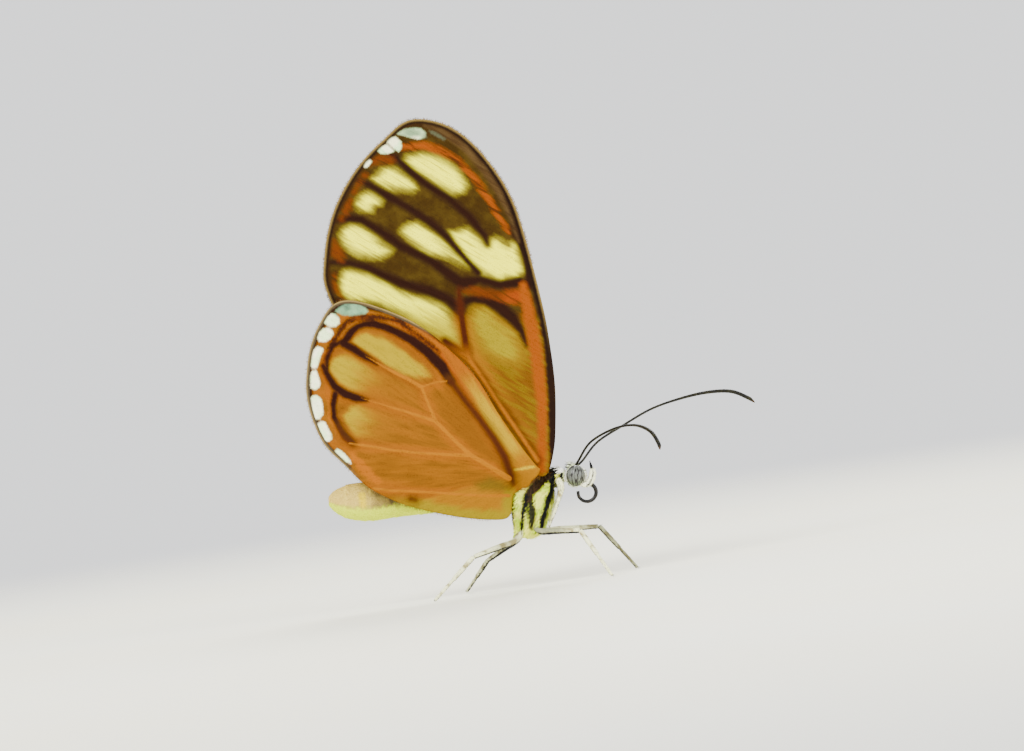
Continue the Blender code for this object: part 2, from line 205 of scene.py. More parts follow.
def store(mesh, name, values):
    """Keeps one number for each point of a mesh under a name."""
    layer = mesh.attributes.new(name, "FLOAT", "POINT")
    layer.data.foreach_set("value", np.asarray(values, dtype=np.float32))


def points_of(mesh):
    """All points of a mesh as an array."""
    flat = np.empty(len(mesh.vertices) * 3)
    mesh.vertices.foreach_get("co", flat)
    return flat.reshape(-1, 3)


# Body markings, drawn on the side as strokes (forward, up, half width): black stripes, dark
# brown back of the thorax, painted olive shade between its plates, tan side and white tufts.
INK = [
    [(0.8, -0.1, 0.14), (0.68, -0.75, 0.27), (0.54, -1.4, 0.17), (0.28, -2.3, 0.18),
     (-0.05, -3.5, 0.16), (-0.3, -4.45, 0.1)],
    [(1.14, -0.41, 0.08), (1.06, -1.21, 0.09), (0.94, -2.0, 0.06), (0.74, -2.81, 0.05),
     (0.4, -4.07, 0.05)],
    [(-1.34, -1.7, 0.18), (-1.44, -2.2, 0.19), (-1.56, -2.9, 0.18), (-1.68, -3.6, 0.17),
     (-1.78, -4.4, 0.14), (-1.84, -4.9, 0.09)],
    [(-2.62, -1.6, 0.14), (-2.62, -2.6, 0.1), (-2.5, -3.6, 0.03)],
    [(1.34, -0.14, 0.13), (1.38, -0.5, 0.12), (1.44, -0.95, 0.06)],
    [(0.85, 0.1, 0.22), (0.95, 0.35, 0.16)],
    [(1.7, 0.1, 0.12), (1.75, 0.5, 0.16), (2.05, 0.75, 0.1)],
    [(2.5, 0.8, 0.16), (2.74, 0.62, 0.1)],
    [(3.12, 0.5, 0.07), (3.3, -0.1, 0.06), (3.2, -0.9, 0.05)]]
UMBER = [
    [(0.3, 0.4, 0.3), (0.65, -0.02, 0.22), (0.17, -0.41, 0.32), (-0.45, -0.87, 0.42),
     (-1.0, -1.4, 0.36), (-1.3, -2.2, 0.26)],
    [(-0.6, 0.4, 0.5), (-1.6, 0.1, 0.4), (-1.9, -0.9, 0.36), (-2.3, -1.5, 0.2)]]
# Painted shade: dark olive strokes in the grooves between the thorax plates.
SHADE = [
    [(-1.06, -2.0, 0.24), (-1.0, -2.9, 0.3), (-0.97, -3.6, 0.24), (-1.04, -4.3, 0.1)],
    [(-2.4, -2.2, 0.1), (-2.45, -3.4, 0.12), (-2.4, -4.4, 0.05)]]
TAN = [[(-0.3, -0.1, 0.34), (-1.0, -0.6, 0.34), (-1.7, -1.0, 0.3)]]
CHALK = [
    [(1.22, 0.22, 0.24), (1.32, 0.2, 0.22)], [(3.0, 0.42, 0.2), (3.2, 0.36, 0.16)],
    [(2.2, 0.74, 0.14), (2.3, 0.76, 0.12)], [(1.74, 0.2, 0.13), (1.7, -0.85, 0.12)],
    [(3.2, -0.2, 0.3), (3.1, -0.7, 0.3)]]
BUTTER_SPOT = [[(-14.6, -1.9, 0.3), (-14.5, -2.6, 0.24)]]
place = points_of(body_mesh)
ahead, up = place[:, 0], place[:, 2]
for marking, lines in (("ink", INK), ("umber", UMBER), ("shade", SHADE), ("tan", TAN),
                       ("butter", BUTTER_SPOT), ("chalk", CHALK)):
    store(body_mesh, marking, strokes(place[:, [0, 2]], lines))
axis = np.array([(x, z, radius) for x, _, z, radius in through(AXIS, 0.5)])[::-1]
axis_height = np.interp(ahead, axis[:, 0], axis[:, 1])
axis_radius = np.interp(ahead, axis[:, 0], axis[:, 2])
on_abdomen = (ahead < -2.75) & (up > -4.4)
phase = ((RING_START - ahead) / RING) % 1.0
crown = np.exp(-((ahead - 2.3) / 0.5) ** 2 - ((up - 0.65) / 0.3) ** 2)
for measure, values in (
        ("height", (up - axis_height) / axis_radius),       # on the abdomen, its back being 1
        ("waist", np.clip((ahead + 15.2) / 2.6, 0, 1)),     # 0 at the abdomen's tip
        ("head", np.clip((ahead - 1.25) / 0.4, 0, 1)),
        ("abdomen", np.clip((-2.6 - ahead) / 0.3, 0, 1) * on_abdomen),
        ("ring_edge", np.minimum(phase, 1.0 - phase) * RING),
        ("shag", np.where(on_abdomen, 0.28, np.where(ahead > 1.35, 0.45 + 0.7 * crown, 0.75)))):
    store(body_mesh, measure, values)


def corners_of(mesh):
    """The number of the point at each face corner."""
    corners = np.empty(len(mesh.loops), dtype=np.int64)
    mesh.loops.foreach_get("vertex_index", corners)
    return corners


def lay_uv(mesh, along, across):
    """Gives a mesh its UV map, one place for each face corner."""
    layer = mesh.uv_layers.new(name="OFBake")
    layer.data.foreach_set("uv", np.stack([along, across], axis=1).astype(np.float32).ravel())


# The skin is unwrapped like a cylinder: along the body and round it, each face kept whole.
middle = np.where(ahead > -2.9, -1.9, axis_height)
corners = corners_of(body_mesh)
turn = (np.arctan2(place[:, 1], up - middle) / (2 * math.pi) + 0.5)[corners]
face_of = np.repeat(np.arange(len(body_mesh.polygons)), [p.loop_total for p in body_mesh.polygons])
least = np.full(len(body_mesh.polygons), 9.0)
np.minimum.at(least, face_of, turn)
turn = np.where(turn - least[face_of] > 0.5, turn - 1.0, turn)
lay_uv(body_mesh, np.clip((ahead[corners] + 18.0) / 22.0, 0, 1), np.clip(turn * 0.9 + 0.05, 0, 1))


class Signal:
    """A socket in a material, so that shader maths reads as Python."""

    def __init__(self, finish, socket):
        self.finish = finish
        self.socket = socket

    def maths(self, how, first, second):
        """A sum, difference or product as a new node."""
        return self.finish.node("ShaderNodeMath", {"operation": how}, {0: first, 1: second})

    def __add__(self, other):
        return self.maths("ADD", self, other)

    def __radd__(self, other):
        return self.maths("ADD", other, self)

    def __sub__(self, other):
        return self.maths("SUBTRACT", self, other)

    def __rsub__(self, other):
        return self.maths("SUBTRACT", other, self)

    def __mul__(self, other):
        return self.maths("MULTIPLY", self, other)

    def __rmul__(self, other):
        return self.maths("MULTIPLY", other, self)


class Finish:
    """A material under construction; wash() and mark() lay its colour in layers."""

    def __init__(self, name, **constants):
        self.material = bpy.data.materials.new(name)
        self.material.use_nodes = True
        self.nodes = self.material.node_tree.nodes
        self.links = self.material.node_tree.links
        self.shader = self.nodes["Principled BSDF"]
        self.colour = None
        for socket, value in constants.items():
            self.shader.inputs[socket.replace("_", " ")].default_value = value

    def node(self, kind, settings=None, sockets=None, out=0):
        """Adds a node, sets it up and gives back one of its outputs."""
        node = self.nodes.new(kind)
        for key, value in (settings or {}).items():
            setattr(node, key, value)
        for key, value in (sockets or {}).items():
            if isinstance(value, Signal):
                self.links.new(value.socket, node.inputs[key])
            else:
                node.inputs[key].default_value = value
        return Signal(self, node.outputs[out])

    def field(self, name):
        """A number kept on the mesh."""
        return self.node("ShaderNodeAttribute", {"attribute_name": name}, out="Fac")

    def place(self, stretch=(1.0, 1.0, 1.0)):
        """Object coordinates in millimetres, stretched."""
        where = self.node("ShaderNodeTexCoord", out="Object")
        scale = tuple(1000.0 * s for s in stretch)
        return self.node("ShaderNodeVectorMath", {"operation": "MULTIPLY"}, {0: where, 1: scale})

    def noise(self, scale, detail=2.0, stretch=(1.0, 1.0, 1.0)):
        """Soft random grey of a size, about 0 to 1."""
        return self.node("ShaderNodeTexNoise", {}, {
            "Vector": self.place(stretch), "Scale": scale, "Detail": detail})

    def ramp(self, value, low, high, bottom=0.0, top=1.0):
        """Goes softly from bottom to top while value goes from low to high."""
        return self.node("ShaderNodeMapRange", {"interpolation_type": "SMOOTHSTEP"}, {
            "Value": value, "From Min": low, "From Max": high, "To Min": bottom, "To Max": top})

    def inside(self, distance, soft):
        """1 inside a marking and 0 outside it, with an edge of a softness."""
        return self.node("ShaderNodeMapRange", {"interpolation_type": "SMOOTHSTEP"}, {
            "Value": distance, "From Min": soft, "From Max": -soft, "To Min": 0.0, "To Max": 1.0})

    def blend(self, base, top, mask):
        """Colour top over colour base where mask is 1."""
        return self.node("ShaderNodeMix", {"data_type": "RGBA"}, {0: mask, 6: base, 7: top}, out=2)

    def wash(self, top, mask):
        """Lays a colour over what is there, where mask is 1."""
        self.colour = self.blend(self.colour, top, mask)

    def mark(self, top, marking, soft, shift=None, share=None):
        """Lays a colour inside a drawn marking; shift moves its soft edge, share thins it."""
        gap = self.field(marking)
        mask = self.inside(gap if shift is None else gap + shift, soft)
        self.wash(top, mask if share is None else mask * share)

    def dimmed(self, share, shade):
        """What is there, darkened by a grey shade to a share."""
        return self.node("ShaderNodeMix", {"data_type": "RGBA", "blend_type": "MULTIPLY"}, {
            0: share, 6: self.colour, 7: shade}, out=2)

    def feed(self, socket, value):
        """Links a result to a socket of the shader."""
        self.links.new(value.socket, self.shader.inputs[socket])

    def relief(self, height, distance, strength=1.0):
        """Fine relief, distance in metres."""
        bump = self.node("ShaderNodeBump", {}, {
            "Height": height, "Distance": distance, "Strength": strength})
        self.feed("Normal", bump)


def paint(red, green, blue):
    """A paint as linear red, green and blue, toned for this studio's light."""
    return (red, green, blue, 1.0)


CREAM = paint(0.917, 0.93, 0.13)
GREENISH_CREAM = paint(0.578, 0.762, 0.0006)
PALE_GREEN = paint(0.625, 0.725, 0.0006)
FAWN = paint(0.604, 0.434, 0.084)
COAL = paint(0.0006, 0.0006, 0.0006)
CHALK_WHITE = paint(0.93, 0.93, 0.824)
DIM = (0.5, 0.49, 0.46, 1.0)
CLEAR = (1.0, 1.0, 1.0, 1.0)


def body_colours(f, tone):
    """Cream bands, dark stripes, fawn back, pale green belly and painted shade between plates and near
    wings; tone varies single scales.
    """
    grain = f.noise(3.0, 3.0)
    hair = f.noise(7.0, 2.0, (1.0, 0.6, 0.18)) - 0.5
    ragged = (grain - 0.5) * 0.08 + hair * 0.16
    f.colour = f.blend(GREENISH_CREAM, CREAM, f.ramp(f.noise(1.0) + hair * 0.5, 0.36, 0.56))
    f.mark(paint(0.064, 0.075, 0.019), "ink", 0.14, hair * 0.3 - 0.1, 0.45)
    # Painted shade in the grooves between the thorax plates.
    f.mark(paint(0.018, 0.017, 0.0029), "shade", 0.1, hair * 0.2)
    f.wash(paint(0.158, 0.168, 0.036), f.ramp(hair, 0.12, 0.26) * 0.4)
    face = f.blend(paint(0.85, 0.93, 0.593), paint(0.058, 0.056, 0.045),
                   f.ramp(f.noise(3.2, 3.0), 0.5, 0.66))
    f.wash(face, f.field("head"))
    breast = f.colour
    # The back darkens toward the thorax: mottling from the noise, plus painted shade near the hindwing's
    # edge.
    back = f.blend(FAWN, paint(0.104, 0.074, 0.033),
                   f.ramp(f.field("waist") * 0.6 + f.noise(1.0, 4.0), 0.55, 1.25))
    f.colour = f.blend(PALE_GREEN, back, f.ramp(f.field("height") + (grain - 0.5) * 0.5, -0.5, -0.15))
    side_line = f.node("ShaderNodeMath", {"operation": "ABSOLUTE"}, {
        0: f.field("height") + 0.3 + (grain - 0.5) * 0.6})
    f.wash(paint(0.066, 0.067, 0.015), f.inside(side_line, 0.16) * 0.5)
    f.mark(paint(0.707, 0.52, 0.0006), "butter", 0.2, ragged)
    f.mark(paint(0.93, 0.794, 0.072), "ring_edge", 0.14, ragged, 0.35)
    f.colour = f.blend(breast, f.colour, f.field("abdomen"))
    front = 1.0 - f.field("abdomen")
    f.mark(paint(0.227, 0.099, 0.015), "tan", 0.16, ragged, front)
    brown = f.blend(paint(0.038, 0.016, 0.0026), paint(0.013, 0.0068, 0.0006), f.ramp(hair, -0.1, 0.12))
    f.mark(brown, "umber", 0.12, ragged, front)
    f.mark(COAL, "ink", 0.07, ragged, front)
    f.mark(CHALK_WHITE, "chalk", 0.05, ragged)
    return f.dimmed(0.7, f.blend(DIM, CLEAR, f.ramp(tone, 0.0, 0.6)))


def dressed(name, mesh, finish):
    """Stands a mesh on the floor, smooths it, gives it its finish and shows it."""
    mesh.transform(STAND)
    mesh.materials.append(finish.material)
    mesh.shade_smooth()
    return shown(name, mesh)


skin_finish = Finish("body skin", Roughness=0.7, Specular_IOR_Level=0.12)
skin_finish.feed("Base Color", body_colours(skin_finish, skin_finish.noise(6.0, 2.0)))
skin_finish.relief(skin_finish.noise(9.0, 3.0), 0.00004)
body_skin = dressed("body_skin", body_mesh, skin_finish)
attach(body_skin, "root")
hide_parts("thorax", "prothorax", "head", "abdomen")


# Coat: flat, tapered scales and hair over the skin, longest on crown and thorax,
# lying toward the rear and down; each keeps the colour of the skin at its root.
BLADE_ROWS = ((0.0, 0.32, 0.0), (0.45, 0.5, 0.1), (0.8, 0.34, 0.17))    # along, width, rise
BLADE_TIP = (1.0, 0.0, 0.22)
BLADE_PATCH = 0.003         # how much of the UV map a scale of unit length covers


def scale_blade(name, material):
    """One scale a unit long, pointed, faintly curled, lying along +X."""
    form = bmesh.new()
    pairs = [[form.verts.new((x, edge * width / 2, z)) for edge in (-1, 1)]
             for x, width, z in BLADE_ROWS]
    for (a, b), (c, d) in zip(pairs, pairs[1:]):
        form.faces.new((a, c, d, b))
    form.faces.new((pairs[-1][0], form.verts.new(BLADE_TIP), pairs[-1][1]))
    thing = shown(name, meshed(form, name))
    thing.data.materials.append(material)
    thing.hide_render = True
    return thing


def blade_tree(name, inputs, spread):
    """A tree that sets a blade on every point; spread() lays the points out and aims them."""
    tree = bpy.data.node_groups.new(name, "GeometryNodeTree")
    tree.interface.new_socket("Geometry", in_out="INPUT", socket_type="NodeSocketGeometry")
    for label, kind, value in (("Blade", "Object", None), ("Finish", "Material", None),
                               ("Length", "Float", 0.0003), ("Width", "Float", 0.3),
                               ("Seed", "Int", 1), *inputs):
        socket = tree.interface.new_socket(label, in_out="INPUT", socket_type="NodeSocket" + kind)
        if value is not None:
            socket.default_value = value
    tree.interface.new_socket("Geometry", in_out="OUTPUT", socket_type="NodeSocketGeometry")

    def add(kind, settings=None, sockets=None, out=0):
        """Adds a node, sets it up and gives back one of its outputs."""
        node = tree.nodes.new(kind)
        for key, value in (settings or {}).items():
            setattr(node, key, value)
        for key, value in (sockets or {}).items():
            if isinstance(value, bpy.types.NodeSocket):
                tree.links.new(value, node.inputs[key])
            else:
                node.inputs[key].default_value = value
        return node.outputs[out]

    def read(name, kind="FLOAT_VECTOR"):
        """What is kept on the points under a name."""
        return add("GeometryNodeInputNamedAttribute", {"data_type": kind}, {"Name": name})

    def keep(geometry, name, value, kind="FLOAT_VECTOR", domain="POINT"):
        """Keeps a value on the geometry under a name."""
        return add("GeometryNodeStoreNamedAttribute", {"data_type": kind, "domain": domain}, {
            "Geometry": geometry, "Name": name, "Value": value})

    given = tree.nodes.new("NodeGroupInput").outputs
    points, aim, swing, size, (least, most) = spread(add, read, keep, given)
    spin = add("FunctionNodeEulerToRotation", {}, {0: swing})
    turned = add("FunctionNodeRotateRotation", {"rotation_space": "LOCAL"}, {
        "Rotation": aim, "Rotate By": spin})
    vary = add("FunctionNodeRandomValue", {"data_type": "FLOAT"}, {
        2: least, 3: most, "Seed": given["Seed"]}, 1)
    size = add("ShaderNodeMath", {"operation": "MULTIPLY"}, {0: size, 1: vary})
    wide = add("ShaderNodeMath", {"operation": "MULTIPLY"}, {0: size, 1: given["Width"]})
    scale = add("ShaderNodeCombineXYZ", {}, {"X": size, "Y": wide, "Z": size})
    blade = add("GeometryNodeObjectInfo", {}, {"Object": given["Blade"]}, "Geometry")
    set_out = add("GeometryNodeInstanceOnPoints", {}, {
        "Points": points, "Instance": keep(blade, "blade_uv", add("GeometryNodeInputPosition")),
        "Rotation": turned, "Scale": scale})
    real = add("GeometryNodeRealizeInstances", {}, {"Geometry": set_out})
    patch = add("ShaderNodeVectorMath", {"operation": "SCALE"}, {
        0: read("blade_uv"), "Scale": BLADE_PATCH})
    patch_uv = add("ShaderNodeVectorMath", {"operation": "ADD"}, {0: read("root_uv"), 1: patch})
    clad = add("GeometryNodeSetMaterial", {}, {
        "Geometry": keep(real, "OFBake", patch_uv, "FLOAT2", "CORNER"), "Material": given["Finish"]})
    tree.links.new(clad, tree.nodes.new("NodeGroupOutput").inputs[0])
    return tree


def strewn(add, read, keep, given):
    """Scales spread over a surface along Lie, each with a tone of its own."""
    seed = {"Seed": given["Seed"]}
    skin = keep(given["Geometry"], "root_uv", read("OFBake"))
    points = add("GeometryNodeDistributePointsOnFaces", {"distribute_method": "RANDOM"}, {
        "Mesh": skin, "Density": given["Density"], **seed})
    tone = add("FunctionNodeRandomValue", {"data_type": "FLOAT"}, seed, 1)
    upright = add("FunctionNodeAlignRotationToVector", {"axis": "Z"}, {
        "Vector": points.node.outputs["Normal"]})
    aim = add("FunctionNodeAlignRotationToVector", {"axis": "X", "pivot_axis": "Z"}, {
        "Rotation": upright, "Vector": given["Lie"]})
    swing = add("FunctionNodeRandomValue", {"data_type": "FLOAT_VECTOR"}, {
        0: (0.0, -0.16, -0.32), 1: (0.0, 0.1, 0.32), **seed})
    rise = add("ShaderNodeMath", {"operation": "MULTIPLY"}, {0: given["Rise"], 1: -1.0})
    swing = add("ShaderNodeVectorMath", {"operation": "ADD"}, {
        0: swing, 1: add("ShaderNodeCombineXYZ", {}, {"Y": rise})})
    size = add("ShaderNodeMath", {"operation": "MULTIPLY"}, {
        0: given["Length"], 1: read("shag", "FLOAT")})
    return keep(points, "tone", tone, "FLOAT"), aim, swing, size, (0.7, 1.25)


def grown(name, mesh, tree, **sizes):
    """What a tree grows on a mesh, as a plain piece."""
    thing = shown(name, mesh)
    modifier = thing.modifiers.new(name, "NODES")
    modifier.node_group = tree
    for item in tree.interface.items_tree:
        if item.item_type == "SOCKET" and item.name in sizes:
            modifier[item.identifier] = sizes[item.name]
    return shown(name, settled(thing))


COAT_TREE = blade_tree("coat of scales", (
    ("Density", "Float", 1e7), ("Rise", "Float", 0.2), ("Lie", "Vector", (-1.0, 0.0, -0.3))), strewn)
coat_finish = Finish("body scales", Roughness=0.6, Specular_IOR_Level=0.15)
coat_finish.feed("Base Color", body_colours(coat_finish, coat_finish.field("tone")))
BLADE = scale_blade("scale_blade", coat_finish.material)


def coat(name, base, finish, **sizes):
    """A coat of scales grown on a piece."""
    return grown(name, base.data.copy(), COAT_TREE, Blade=BLADE, Finish=finish.material, **sizes)


body_coat = coat("body_coat", body_skin, coat_finish, Density=1.2e8, Length=0.0005,
                 Width=0.34, Rise=0.18, Lie=(-0.75, 0.0, -0.55), Seed=4)
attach(body_coat, "root")


# Forewings: one thin flat sheet each, scaled alike on both faces, with raised veins and a
# scale fringe; rooted in the thorax below the hinge and held upright over the back.
# Outlines, veins and markings are (forward, up) from the hinge; strokes add a half width.
FOREWING_OUTLINE = [
    (0.3, -0.1), (0.8, 1.7), (0.95, 3.8), (0.9, 7.0), (0.5, 10.2), (-0.1, 13.4),
    (-1.6, 19.2), (-2.7, 22.2), (-4.2, 24.6), (-6.0, 26.6), (-7.8, 27.8), (-9.8, 28.3),
    (-11.4, 28.0), (-13.0, 26.6), (-14.5, 25.1), (-15.8, 23.3), (-16.9, 21.1),
    (-17.5, 19.0), (-17.75, 17.0), (-17.8, 15.4), (-17.4, 14.0), (-16.6, 12.5),
    (-15.0, 11.0), (-11.6, 8.5), (-7.6, 5.0), (-3.6, 1.9), (-1.4, 0.1), (-0.5, -0.4)]
FOREWING_VEINS = {
    "subcosta": [(0.2, 0.6), (0.4, 3.4), (0.3, 6.2), (-0.1, 9.8), (-0.7, 13.4), (-1.9, 19.0)],
    "radius": [(-0.2, 0.6), (-0.5, 5.8), (-0.9, 9.0), (-2.0, 14.6), (-3.0, 18.3),
               (-4.4, 21.0), (-6.0, 23.5), (-7.8, 25.4), (-11.0, 27.8)],
    "cubitus": [(-0.5, 0.6), (-2.4, 3.4), (-4.2, 6.2), (-6.1, 9.1), (-6.6, 11.8),
                (-7.0, 13.5), (-6.9, 14.6)],
    "cell_end": [(-6.9, 14.6), (-4.7, 14.4), (-2.0, 14.6)],
    "media_1": [(-3.3, 14.4), (-3.2, 16.8), (-4.5, 18.4), (-6.4, 21.0), (-9.2, 23.0),
                (-13.7, 25.8)],
    "media_2": [(-4.7, 14.4), (-6.6, 17.4), (-8.8, 19.6), (-12.0, 21.4), (-15.9, 23.1)],
    "media_3": [(-6.9, 14.6), (-8.4, 16.6), (-11.6, 18.5), (-14.0, 20.2), (-17.2, 20.6)],
    "cubital_1": [(-7.0, 13.5), (-10.0, 14.7), (-13.2, 16.0), (-17.7, 16.8)],
    "cubital_2": [(-6.1, 9.1), (-8.8, 10.6), (-12.4, 12.2), (-17.4, 14.2)],
    "anal": [(-0.9, 0.2), (-3.6, 2.7), (-7.6, 5.9), (-11.6, 9.4), (-15.8, 12.4)]}
